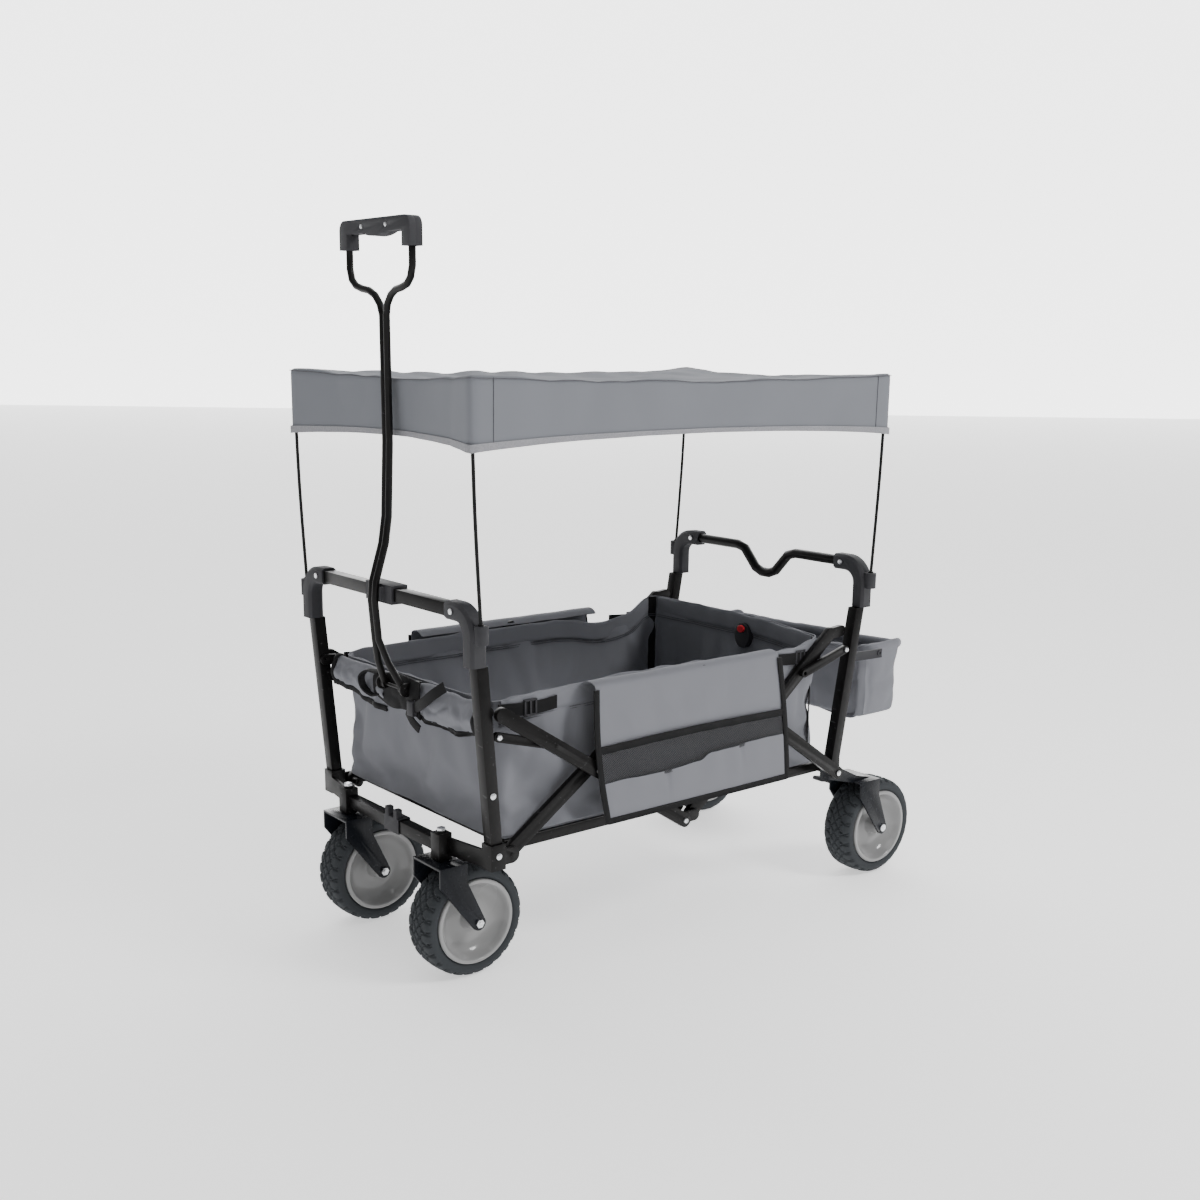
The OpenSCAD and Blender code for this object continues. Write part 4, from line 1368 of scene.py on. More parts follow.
@dataclass
class SunCanopy:
    """One sheet over the four rods: a sagging roof, deep skirts and a pale hem."""

    columns: int = 60
    rows: int = 38
    drops: int = 8
    sag: float = 0.024
    dip: float = 0.007
    arch: float = 0.017
    hem: float = 0.013
    cloth: float = 0.0011
    dent: float = 0.043

    def __post_init__(self) -> None:
        """Takes the cover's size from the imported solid."""
        self.low, self.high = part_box("canopy_cover")
        self.middle = (self.low + self.high) / 2
        self.half = (self.high - self.low) / 2

    def surface(self, p: Vector) -> Vector:
        """Where a point of the plain box cover hangs.

        Args:
            p: A point on the roof or skirts of a plain box of the cover's size.

        Returns:
            Its place on the real cover.
        """
        u = (p.x - self.middle.x) / self.half.x
        w = (p.y - self.middle.y) / self.half.y
        down = min(1.0, max(0.0, (self.high.z - p.z) / (2 * self.half.z)))
        q = p.copy()
        near_front = max(0.0, 1 - (p.x - self.low.x) / 0.16)
        q.x += self.dent * max(0.0, 1 - w * w) * near_front ** 2
        inside_x, inside_y = max(0.0, 1 - u * u), max(0.0, 1 - w * w)
        roof = 1 - min(1.0, down * 12)
        q.z -= self.sag * (inside_x * inside_y) ** 0.7 * roof
        q.z -= self.dip * max(inside_x * (1 - roof * inside_y),
                              inside_y * (1 - roof * inside_x)) * (1 - down) ** 0.5
        side = max(abs(u) ** 12, abs(w) ** 12)
        q.z += self.arch * down ** 1.5 * (inside_x ** 0.8 if abs(w) > abs(u) else inside_y ** 0.8 * 0.6)
        corner = math.exp(-((1 - abs(u)) * 5) ** 2 - ((1 - abs(w)) * 3) ** 2)
        folds = crease(Vector((q.x * 2.2, q.y * 2.2, q.z * 0.8)), 0.22, 3.1) * 0.0055
        folds += ripple(Vector((q.x, q.y, q.z * 0.5)), 0.10, 5.0) * 0.0034 + ripple(q, 0.035, 9.0) * 0.0006
        out = Vector((u if abs(u) > abs(w) else 0, w if abs(w) >= abs(u) else 0, 0))
        if out.length:
            out.normalize()
        q -= out * ((folds * (1 - corner)
                     + 0.005 * down * (inside_x if abs(w) > abs(u) else inside_y)) * side)
        q.z -= folds * roof * (1 - 0.6 * corner)
        radial = math.atan2(max(0.0, 1 - abs(w)) * self.half.y, max(0.0, 1 - abs(u)) * self.half.x + 1e-6)
        q.z -= 0.003 * roof * math.sin(radial * 9) * math.exp(
            -((1 - abs(u)) ** 2 + (1 - abs(w)) ** 2) * 6) * (
            inside_x * inside_y) ** 0.3
        return q

    def rounded(self, p: Vector, radius: float = 0.012) -> Vector:
        """Rounds the upright corners of the plain box.

        Args:
            p: A point on the box.
            radius: The corner's radius.

        Returns:
            The rounded point.
        """
        dx = abs(p.x - self.middle.x) - (self.half.x - radius)
        dy = abs(p.y - self.middle.y) - (self.half.y - radius)
        if dx <= 0 or dy <= 0:
            return p
        length = math.hypot(dx, dy)
        scale = min(1.0, radius / length)
        sign_x = math.copysign(1, p.x - self.middle.x)
        sign_y = math.copysign(1, p.y - self.middle.y)
        return Vector((self.middle.x + sign_x * (self.half.x - radius + dx * scale),
                       self.middle.y + sign_y * (self.half.y - radius + dy * scale), p.z))

    def edge(self, t: float, drop: float, proud: float) -> Vector:
        """A point on the skirt.

        Args:
            t: Share of the way round, from the middle of the front.
            drop: How far below the roof, from 0 to 1.
            proud: How far outside the cloth.

        Returns:
            The place.
        """
        hx, hy = self.half.x, self.half.y
        reach = (t % 1.0) * 4 * (hx + hy)
        legs = ((hy, (-1, 0), (0, 1)), (2 * hx, (-1, 1), (1, 0)), (2 * hy, (1, 1), (0, -1)),
                (2 * hx, (1, -1), (-1, 0)), (hy, (-1, -1), (0, 1)))
        for length, start, along in legs:
            if reach <= length:
                break
            reach -= length
        p = Vector((self.middle.x + start[0] * hx + along[0] * reach,
                    self.middle.y + start[1] * hy + along[1] * reach,
                    self.high.z - drop * 2 * self.half.z))
        q = self.surface(self.rounded(p))
        out = Vector((q.x - self.middle.x, q.y - self.middle.y, 0))
        across = Vector((0, math.copysign(1, out.y), 0))
        face = Vector((math.copysign(1, out.x), 0, 0)) if abs(along[1]) else across
        return q + face * proud

    def build(self) -> None:
        """Makes the cover, its hem and its seams."""
        hx, hy = self.half.x, self.half.y
        sheet = net("sun_canopy", self.columns, self.rows, lambda u, v: Vector((
            self.middle.x + (2 * u - 1) * hx, self.middle.y + (2 * v - 1) * hy, self.high.z)))
        with Editing(sheet):
            bpy.ops.mesh.select_mode(type="EDGE")
            bpy.ops.mesh.region_to_loop()
            for _ in range(self.drops):
                bpy.ops.mesh.extrude_region_move(TRANSFORM_OT_translate={
                    "value": (0, 0, -2 * self.half.z / self.drops)})
        reshape(sheet, lambda p: self.surface(self.rounded(p)))
        outward(sheet)
        finer(sheet)
        thicken(sheet, self.cloth)
        hem = self.band("canopy_hem", 1 - self.hem / (2 * self.half.z), 1.0, 0.0008, 0.0020)
        seam = self.stitches()
        carry(sheet, CANOPY_CANVAS, "front_frame", ["canopy_cover"], 60)
        carry(hem, HEM_TAPE, "front_frame")
        carry(seam, GREY_THREAD, "front_frame")
        for piece in (sheet, hem, seam):
            Fold().canopy(piece)

    def band(self, name: str, top: float, bottom: float, proud: float, thickness: float) -> bpy.types.Object:
        """A tape round the skirt.

        Args:
            name: Its name.
            top: Where it begins, as a share of the skirt's depth.
            bottom: Where it ends.
            proud: How far outside the cloth it lies.
            thickness: Its thickness.

        Returns:
            The tape.
        """
        obj = net(name, 300, 3, lambda u, v: self.edge(-u, bottom + (top - bottom) * v, proud), closed=True)
        thicken(obj, thickness, 0.0)
        return outward(obj)

    def stitches(self) -> bpy.types.Object:
        """Fine seam cords down the skirt beside each corner and along the roof's edge."""
        hx, hy = self.half.x, self.half.y
        whole = 4 * (hx + hy)
        marks = [(hy + 0.045) / whole, (hy + 2 * hx - 0.045) / whole]
        marks += [1 - mark for mark in marks]
        parts = []
        for mark in marks:
            line = Track([self.edge(mark, 0.03 + 0.86 * k / 8, 0.0004) for k in range(9)])
            parts.append(pipe("seam", line, 0.0007, 6, 18))
        line = Track([self.edge(k / 160, 0.045, 0.0003) for k in range(160)], closed=True)
        parts.append(pipe("seam", line, 0.0007, 6, 400))
        return joined("canopy_seams", parts)


@dataclass
class Fold:
    """How far the rear frame comes forward when the wagon folds; the cloth pieces only get their own meshes.
    """

    joint: str = "fold"
    axis: tuple[float, float, float] = (1, 0, 0)
    travel: float = field(init=False)

    def __post_init__(self) -> None:
        """Works out how far the rear frame comes forward."""
        half = hinge("floor_rear_fold").x - hinge("fold").x
        angle = math.radians(next(j["range_deg"][1] for j in frame["joints"] if j["name"] == self.joint))
        self.travel = 2 * half * (1 - math.cos(angle))

    def squeeze(self, obj: bpy.types.Object) -> None:
        """Gives a piece its own mesh.

        Args:
            obj: The piece.
        """
        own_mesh(obj)

    def canopy(self, obj: bpy.types.Object) -> None:
        """Gives a piece of the canopy its own mesh."""
        self.squeeze(obj)

    def basket(self, obj: bpy.types.Object) -> None:
        """Gives a piece of the basket its own mesh."""
        self.squeeze(obj)


# ------------------------------------------------------------------ basket


@dataclass
class Basket:
    """The fabric tub: one wrinkled wall all round, a padded rim and its stitching."""

    columns: int = 176
    rows: int = 20
    wall: float = 0.0022
    corner: float = 0.030
    band: float = 0.037
    pad: float = 0.0085
    drape: Drape = field(default_factory=lambda: Drape(
        frames=24, gravity=0.5, growth=0.035, cap=0.016, bending=0.15, stiffness=12.0))

    def __post_init__(self) -> None:
        """Takes the tub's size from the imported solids."""
        front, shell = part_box("basket_front_panel"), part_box("basket_shell")
        self.low = Vector((front[0].x, shell[0].y, shell[0].z))
        self.high = Vector((shell[1].x, shell[1].y, shell[1].z))
        self.plan = self.outline()

    def outline(self) -> Track:
        """The tub's plan, from the middle of its front round its right side."""
        x0, x1, w = self.low.x, self.high.x, self.high.y
        points = round_corners(x0, x1, w, self.corner)
        sides = [(x0, 0, 0)]
        for k, point in enumerate(points):
            sides.append(point)
            if k == len(points) - 1:
                sides.append(((point[0] + x0) / 2, point[1] / 2, 0))
            elif k % CORNER_STEPS == CORNER_STEPS - 1:
                ahead = points[k + 1]
                sides += [((point[0] * (3 - i) + ahead[0] * i) / 3,
                           (point[1] * (3 - i) + ahead[1] * i) / 3, 0) for i in (1, 2)]
        return Track(sides, closed=True)

    def rim(self, x: float, y: float) -> float:
        """Height of the rim.

        Args:
            x: Place along the wagon.
            y: Place across it.

        Returns:
            Its height.
        """
        along = (x - self.low.x) / (self.high.x - self.low.x)
        across = y / self.high.y
        notch = 0.016 * math.exp(-((along - 0.80) / 0.09) ** 2)
        left = 0.0035 * math.sin(math.pi * along * 1.1) - notch - 0.006
        right = 0.008 * math.sin(math.pi * min(1.0, along * 1.25)) - 0.002
        sides = right + (left - right) * (across + 1) / 2
        rear = (0.024 - 0.012 * rise(-across, 0.2, 1.0)) * rise(along, 0.90, 0.985)
        front = -0.004 * rise(-along, -0.06, 0.0)
        return self.high.z + sides * (1 - rise(along, 0.9, 1.0)) + rear + front

    def wall_point(self, u: float, v: float) -> Vector:
        """A point of the wall.

        Args:
            u: Share of the way round.
            v: Share of the way up.

        Returns:
            Its place.
        """
        p = self.plan.at(u)
        top = self.rim(p.x, p.y)
        foot = self.low.z - 0.003 + 0.007 * (0.5 + 0.5 * ripple(Vector((p.x, p.y, 0)), 0.16, 2.0))
        z = foot + (top - foot) * v
        out = self.plan.outward(u)
        free = math.sin(math.pi * min(1.0, v * 1.04)) ** 0.7
        deep = ripple(Vector((p.x, p.y, z * 0.55)), 0.11, 4.0) * 0.011 + crease(
            Vector((p.x + z * 0.5, p.y + z * 0.35, z * 0.6)), 0.15, 8.0) * 0.009
        fine = ripple(Vector((p.x, p.y, z)), 0.030, 6.0) * 0.0022
        inward = abs(deep) + fine + 0.001
        return Vector((p.x, p.y, z)) - out * inward * free

    def keep_inside(self, start: Vector, place: Vector) -> Vector:
        """Keeps a settled point clear of the arms and posts.

        Args:
            start: Where it began.
            place: Where it settled.

        Returns:
            An allowed place.
        """
        place.y = min(max(place.y, -self.high.y - 0.0010), self.high.y + 0.0010)
        place.x = min(max(place.x, self.low.x - 0.0005), self.high.x + 0.004)
        return place

    def build(self) -> None:
        """Makes the wall, rim, stitches and corner tapes."""
        wall = net("basket_wall", self.columns, self.rows, self.wall_point, closed=True)
        outward(wall)
        top, foot = self.high.z - self.band, self.low.z + 0.012
        self.drape.run(wall, lambda p: 1.0 if p.z > top or p.z < foot else 0.04, self.keep_inside)
        finer(wall)
        thicken(wall, self.wall)
        rim = self.rim_roll()
        seam = self.stitches()
        corners = self.corner_tapes()
        carry(wall, GREY_CANVAS, "front_frame", ["basket_shell", "basket_front_panel"], 70)
        carry(rim, GREY_CANVAS, "front_frame", (), 70)
        carry(seam, GREY_THREAD, "front_frame")
        carry(corners, BLACK_TAPE, "front_frame")
        for piece in (wall, rim, seam, corners):
            Fold().basket(piece)

    def rim_roll(self) -> bpy.types.Object:
        """The padded band along the rim, quilted by its own wrinkles."""
        def shape(u: float, v: float) -> Vector:
            """Place on the band.

            Args:
                u: Share of the way round.
                v: Share of the way round its cross-section.

            Returns:
                The place.
            """
            p = self.plan.at(u)
            top = self.rim(p.x, p.y)
            turn = 2 * math.pi * v
            out = self.plan.outward(u)
            along = Vector((p.x, p.y, 0))
            puff = 1 + 0.30 * ripple(along, 0.035, 1.0) + 0.25 * ripple(along, 0.09, 7.0)
            puff -= 0.55 * max(0.0, ripple(along, 0.040, 12.0)) ** 0.5
            across = math.copysign(abs(math.cos(turn)) ** 0.8, math.cos(turn)) * self.pad * 0.5 * puff
            tall = math.copysign(abs(math.sin(turn)) ** 0.7, math.sin(turn)) * self.band * 0.5
            lean = 0.003 * (tall / self.band) * ripple(along, 0.07, 15.0)
            centre = Vector((p.x, p.y, top - self.band * 0.5)) - out * (self.pad * 0.5 + 0.0002)
            wave = 0.0024 * ripple(along, 0.045, 21.0) * (1 + math.sin(turn))
            return centre + out * min(across + lean, self.pad * 0.5) + Vector((0, 0, tall + wave))

        return outward(net("basket_rim", 360, 18, shape, closed=False))

    def stitches(self) -> bpy.types.Object:
        """Two rows of stitches under the rim, inside and out."""
        rows = []
        for drop in (self.band + 0.0025, self.band + 0.0065):
            for inset in (self.wall + 0.0022, -0.0002):
                points = []
                for k in range(220):
                    p = self.plan.at(k / 220)
                    q = self.wall_point(k / 220, 1 - drop / (self.rim(p.x, p.y) - self.low.z))
                    out = self.plan.outward(k / 220)
                    points.append(q - out * inset)
                line = Track(points, closed=True)
                rows.append(pipe("row", line, lambda v: 0.0007, 5, 900))
        return joined("rim_stitches", rows)

    def corner_tapes(self) -> bpy.types.Object:
        """Black tapes down the inside of the rear corners."""
        parts = []
        for side in (1, -1):
            x, y = self.high.x - 0.016, side * (self.high.y - 0.014)
            top = self.rim(self.high.x, y)
            line = Track([(x + 0.001, y, top - 0.001), (x, y, top - 0.05),
                          (x + 0.001, y - side * 0.001, top - 0.12),
                          (x, y, self.low.z + 0.012)])
            parts.append(strip("tape", line, 0.017, lambda v: Vector((1, -side, 0)) * (side), 0.0018, 36))
        return joined("corner_tapes", parts)


@dataclass
class FrontFlap:
    """The basket's front edge, turned over the cross bar on each side of the handle."""

    inner: float = 0.048
    outer: float = 0.236
    drop: float = 0.050
    cloth: float = 0.0018
    lift: float = 0.0020

    def __post_init__(self) -> None:
        """Takes the bar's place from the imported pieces."""
        self.bar = hinge("pull_handle_tilt")
        self.bar.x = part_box("handle_bracket")[1].x - 0.012
        self.radius = 0.007

    def across(self, side: int, u: float) -> float:
        """Place across the wagon of a share of a flap's width."""
        return side * (self.inner + (self.outer - self.inner) * u)

    def section(self, u: float, v: float, side: int) -> Vector:
        """A point of a flap.

        Args:
            u: Share of its width, outwards.
            v: Share of its length, from inside the basket over the bar and down.
            side: 1 for the left flap, -1 for the right.

        Returns:
            Its place.
        """
        y = self.across(side, u)
        r = self.radius + self.lift
        behind, over = 0.030, math.pi * r
        deep = self.drop * (1.0 - 0.16 * u + 0.12 * math.sin(5 * u + side))
        reach = v * (behind + over + deep)
        swell = 1 + 0.9 * max(0.0, ripple(Vector((y, 0.2, 0)), 0.045, 3.0 + side))
        if reach < behind:
            q = Vector((self.bar.x + r, y, self.bar.z - (behind - reach)))
        elif reach < behind + over:
            turn = (reach - behind) / r
            q = Vector((self.bar.x + r * math.cos(turn), y, self.bar.z + r * swell * math.sin(turn)))
        else:
            low = reach - behind - over
            q = Vector((self.bar.x - r - 0.006 * math.sin(math.pi * min(1.0, low / deep)), y,
                        self.bar.z - low))
        fall = rise(reach, behind + 0.4 * over, behind + over + 0.02)
        place = Vector((y, q.z, 0.3 * side))
        q.x -= fall * (0.0095 * abs(ripple(place, 0.036, 5.0)) + 0.0028 * ripple(place, 0.016, 2.0))
        q.z += 0.004 * ripple(Vector((y, 0, side)), 0.05, 8.0) * (0.4 + fall)
        return q

    def build(self) -> None:
        """Makes both flaps with their bindings, and the band round the handle's foot."""
        for name, side in SIDES.items():
            flap = net(f"front_flap_{name}", 44, 30, lambda u, v: self.section(u, v, side))
            if side < 0:
                with Editing(flap):
                    bpy.ops.mesh.flip_normals()
            Drape(frames=12, gravity=0.4, growth=0.012, cap=0.004, bending=0.3).run(
                flap, lambda p: 0.2 if p.x < self.bar.x - 0.004 and p.z > self.bar.z - 0.030 else 1.0)
            finer(flap)
            thicken(flap, self.cloth, 0.0)
            hem = Track([self.section(k / 44, 0.985, side) + Vector((-0.0006, 0, 0)) for k in range(45)])
            edge = Track([self.section(0.985, 0.32 + 0.68 * k / 20, side) + Vector((-0.0006, 0, 0))
                          for k in range(21)])
            binding = joined(f"flap_binding_{name}", [
                strip("tape", hem, 0.009, lambda v: UP, 0.0046, 88),
                strip("tape", edge, 0.009, lambda v: Vector((0, 1, 0)), 0.0046, 40)])
            carry(flap, GREY_CANVAS, "front_frame", (), 70)
            carry(binding, BLACK_TAPE, "front_frame")
        self.handle_band()

    def handle_band(self) -> None:
        """The black cloth band that wraps the handle's foot, with its loop and strap end."""
        x, z = self.bar.x - self.radius - 0.0075, self.bar.z

        def patch(u: float, v: float) -> Vector:
            """Place on the band.

            Args:
                u: Share of its width, from right to left.
                v: Share of its height.

            Returns:
                The place.
            """
            y = -0.068 + 0.150 * u
            low = z - 0.050 + 0.018 * u + 0.006 * math.sin(7 * u)
            high = z + 0.016 + 0.010 * math.sin(math.pi * u) - 0.012 * u
            place = Vector((y, low + (high - low) * v, 0.1))
            stand = 0.005 * abs(ripple(place, 0.03, 3.0)) + 0.003 * math.sin(math.pi * v)
            return Vector((x - stand, place.x, place.y))

        cloth = net("handle_band", 36, 18, patch)
        with Editing(cloth):
            bpy.ops.mesh.flip_normals()
        finer(cloth)
        thicken(cloth, 0.0024, 0.0)
        tail = Track([(x - 0.004, -0.045, z - 0.030), (x - 0.012, -0.075, z - 0.022),
                      (x - 0.018, -0.105, z - 0.008),
                      (x - 0.017, -0.135, z + 0.012), (x - 0.010, -0.158, z + 0.028)])
        loop = Track([(x - 0.003, 0.062, z + 0.010), (x - 0.010, 0.088, z + 0.012),
                      (x - 0.013, 0.108, z - 0.002),
                      (x - 0.011, 0.104, z - 0.022), (x - 0.006, 0.080, z - 0.032),
                      (x - 0.003, 0.058, z - 0.026)])
        end = Track([(x - 0.004, -0.030, z - 0.040), (x - 0.008, -0.052, z - 0.052),
                     (x - 0.007, -0.074, z - 0.063)])
        ahead = Vector((-1, 0, 0))
        straps = [strip("strap", tail, 0.018, lambda v: tail.heading(v).cross(ahead), 0.0026, 34),
                  strip("strap", loop, 0.013, lambda v: Vector((1, 0, 0.1)), 0.0030, 44),
                  strip("strap", end, 0.015, lambda v: end.heading(v).cross(ahead), 0.0026, 20)]
        buckle = block("strap_keeper", (x - 0.0155, -0.066, z - 0.042), (x - 0.0065, -0.046, z - 0.016),
                       0.0016, 0.001)
        carry(cloth, BLACK_TAPE, "front_frame", (), 60)
        carry(joined("handle_straps", straps), BLACK_TAPE, "front_frame")
        carry(buckle, BLACK_PLASTIC, "front_frame")


@dataclass
class SidePocket:
    """Outer panel of one side: cloth over a net pocket, bound in black."""

    side: int = -1
    name: str = "right"
    fold: float = 0.016
    cloth: float = 0.0016
    tape: float = 0.011
    elastic: float = 0.013

    def __post_init__(self) -> None:
        """Takes the panel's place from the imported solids."""
        low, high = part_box("side_pockets")
        self.low, self.high = low, high
        self.face = high.y - 0.0015
        self.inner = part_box("basket_shell")[1].y - 0.002
        self.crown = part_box("top_hubs")[1].z + 0.0045

    def edge_x(self, u: float, z: float) -> float:
        """Place along the wagon of a share of the panel's length.

        Args:
            u: 0 at its front edge, 1 at its rear edge.
            z: Height.

        Returns:
            The place.
        """
        down = min(1.0, max(0.0, (self.high.z - z) / (self.high.z - self.low.z)))
        front = self.low.x + 0.030 * down - 0.008 * math.sin(math.pi * down)
        rear = self.high.x - 0.034 * (1 - down) + 0.004 * math.sin(math.pi * down)
        return front + (rear - front) * u

    def puff(self, u: float, z: float, depth: float) -> float:
        """How far the loose pocket stands out.

        Args:
            u: Share of the panel's length.
            z: Height.
            depth: The most that it may be.

        Returns:
            The distance.
        """
        top = self.elastic_z(u)
        down = min(1.0, max(0.0, (top - z) / (top - self.low.z)))
        swell = math.sin(math.pi * min(1.0, 0.12 + down * 0.9)) * math.sin(math.pi * u) ** 0.5
        folds = 0.55 + 0.45 * math.sin(2 * math.pi * (u * 6.0 + 0.25 * math.sin(9 * u)))
        return depth * swell * (0.55 + 0.45 * folds)

    def elastic_z(self, u: float) -> float:
        """Height of the elastic edge of the net."""
        return self.low.z + 0.131 + 0.004 * math.sin(math.pi * u)

    def lower_z(self, u: float) -> float:
        """Height where the net meets the cloth of the pocket's foot."""
        return self.low.z + 0.070 + 0.006 * u + 0.013 * rise(u, 0.50, 0.56) + 0.0015 * math.sin(17 * u)

    def panel_point(self, u: float, v: float) -> Vector:
        """A point of the cloth panel.

        Args:
            u: Share of its length.
            v: Share of its height, from the foot up and over the rim.

        Returns:
            Its place.
        """
        flat, turn = 0.86, 0.14
        if v < flat:
            z = self.low.z + (self.crown - 0.008 - self.low.z) * v / flat
            y = self.face
        else:
            angle = (v - flat) / turn * math.pi * 0.92
            reach = (self.face - self.inner) / 2
            y = self.face - reach + reach * math.cos(angle)
            z = self.crown - 0.008 + 0.008 * math.sin(min(angle, math.pi / 2)) - 0.010 * rise(angle, 1.7, 2.9)
        x = self.edge_x(u, z)
        place = Vector((x, z * 0.8, self.side * 0.5))
        free = math.sin(math.pi * min(1.0, v / flat * 0.96)) if v < flat else 0.0
        above = rise(z, self.low.z + 0.135, self.low.z + 0.175)
        free *= math.sin(math.pi * min(1.0, max(0.0, u))) ** 0.4 * above
        folds = 0.0058 * abs(ripple(place, 0.075, 4.0)) + 0.0060 * crease(
            Vector((x + z * 0.7, z, self.side)), 0.12, 9.0)
        y += free * (folds + 0.0009 * ripple(place, 0.022, 1.0))
        z += 0.0016 * ripple(Vector((x, 0, self.side)), 0.07, 2.0) * rise(v, 0.8, 0.95)
        return Vector((x, self.side * y, z))

    def pocket_point(self, u: float, z: float, stand: float) -> Vector:
        """A point of the loose pocket.

        Args:
            u: Share of its length.
            z: Height.
            stand: How far it lies from the panel at least.

        Returns:
            Its place.
        """
        x = self.edge_x(0.012 + 0.976 * u, z)
        return Vector((x, self.side * (self.face + stand + self.puff(u, z, 0.0080)), z))

    def build(self) -> None:
        """Makes the panel, net, foot and bindings."""
        panel = self.sheet("pocket_panel", 84, 44, self.panel_point)
        mesh = self.sheet("pocket_net", 90, 12, lambda u, v: self.pocket_point(
            u, self.lower_z(u) - 0.004 + (self.elastic_z(u) - self.lower_z(u) + 0.002) * v, 0.0018))
        foot = self.sheet("pocket_foot", 90, 12, self.foot_point)
        bands = [self.tape_line([self.pocket_point(k / 24, self.elastic_z(k / 24), 0.0024)
                                 for k in range(25)],
                                self.elastic, Vector((0, 0, 1)), 70)]
        for u in (0.0, 1.0):
            rows = [self.low.z - 0.002 + (self.crown - 0.010 - self.low.z) * k / 12 for k in range(13)]
            bands.append(self.tape_line(
                [Vector((self.edge_x(u, z), self.side * (self.face + 0.0022), z)) for z in rows],
                self.tape, Vector((1, 0, 0)), 50))
        bands.append(self.tape_line(
            [Vector((self.edge_x(k / 16, self.low.z), self.side * (self.face + 0.0030), self.low.z + 0.002))
             for k in range(17)], self.tape, Vector((0, 0, 1)), 60))
        binding = joined(f"pocket_binding_{self.name}", bands)
        carry(panel, GREY_CANVAS, "front_frame", ["side_pockets"], 70)
        carry(mesh, BLACK_NET, "front_frame", (), 70)
        carry(foot, GREY_CANVAS, "front_frame", (), 70)
        carry(binding, BLACK_TAPE, "front_frame")
        for piece in (panel, mesh, foot, binding):
            Fold().basket(piece)

    def foot_point(self, u: float, v: float) -> Vector:
        """A point of the pocket's cloth foot, with two darts.

        Args:
            u: Share of its length.
            v: Share of its height.

        Returns:
            Its place.
        """
        z = self.low.z + 0.001 + (self.lower_z(u) - self.low.z) * v
        q = self.pocket_point(u, z, 0.0022)
        for dart in (0.32, 0.74):
            near = math.exp(-((u - dart) / 0.010) ** 2)
            q.y -= self.side * near * 0.0050 * v ** 1.5
        return q

    def sheet(self, name: str, columns: int, rows: int, shape: Shape) -> bpy.types.Object:
        """A thin cloth piece that faces outwards.

        Args:
            name: Its name without the side.
            columns: Faces along it.
            rows: Faces up it.
            shape: Its surface.

        Returns:
            The piece.
        """
        obj = net(f"{name}_{self.name}", columns, rows, shape)
        if self.side > 0:
            with Editing(obj):
                bpy.ops.mesh.flip_normals()
        finer(obj)
        return thicken(obj, self.cloth if "net" not in name else 0.0006)

    def tape_line(self, points: Sequence[Vector], width: float, across: Vector,
                  steps: int) -> bpy.types.Object:
        """A binding tape along some points.

        Args:
            points: The points.
            width: Its width.
            across: The way that its width runs.
            steps: Faces along it.

        Returns:
            The tape.
        """
        return strip("tape", Track(points), width, lambda v: across, 0.0026, steps)


# ------------------------------------------------------------------ straps, bag and pad


@dataclass
class Straps:
    """Side straps with their ladder-lock buckles."""

    width: float = 0.022
    tape: float = 0.0014

    def one(self, name: str, node: str, body: str, bow: float, stand: float) -> None:
        """Makes a pair of straps.

        Args:
            name: The pair's name.
            node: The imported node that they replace.
            body: The body that they move with.
            bow: How far they belly outwards.
            stand: How far their buckles stand out from the tape.
        """
        low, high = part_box(node)
        z = (low.z + high.z) / 2
        tapes, locks = [], []
        for side in (1, -1):
            face = side * (high.y - self.tape / 2)
            line = Track([(low.x + 0.001, face, z + 0.002),
                          (low.x * 0.65 + high.x * 0.35, face + side * bow, z - 0.001),
                          (low.x * 0.3 + high.x * 0.7, face + side * bow * 0.5, z - 0.002),
                          (high.x - 0.001, face, z + 0.001)])
            tapes.append(strip("tape", line, self.width, lambda v: UP, self.tape, 30))
            middle = line.at(0.52)
            for shift in (-0.011, 0.0, 0.011):
                bar = block("bar", (middle.x + shift - 0.0018, min(face, face + side * stand), z - 0.0125),
                            (middle.x + shift + 0.0018, max(face, face + side * stand), z + 0.0125), 0.0005)
                locks.append(bar)
            for lift in (-0.0125, 0.0125):
                locks.append(block("rail",
                                   (middle.x - 0.0132, min(face, face + side * stand), z + lift - 0.0015),
                                   (middle.x + 0.0132, max(face, face + side * stand), z + lift + 0.0015),
                                   0.0005))
        tape = joined(name, tapes)
        carry(tape, BLACK_TAPE, body, [node])
        carry(joined(f"{name}_locks", locks), BLACK_PLASTIC, body)

    def build(self) -> None:
        """Makes the front and the rear pairs."""
        self.one("side_straps_front", "front_straps", "front_frame", 0.0012, 0.0042)
        self.one("side_straps_rear", "rear_straps", "rear_frame", 0.0, 0.0012)


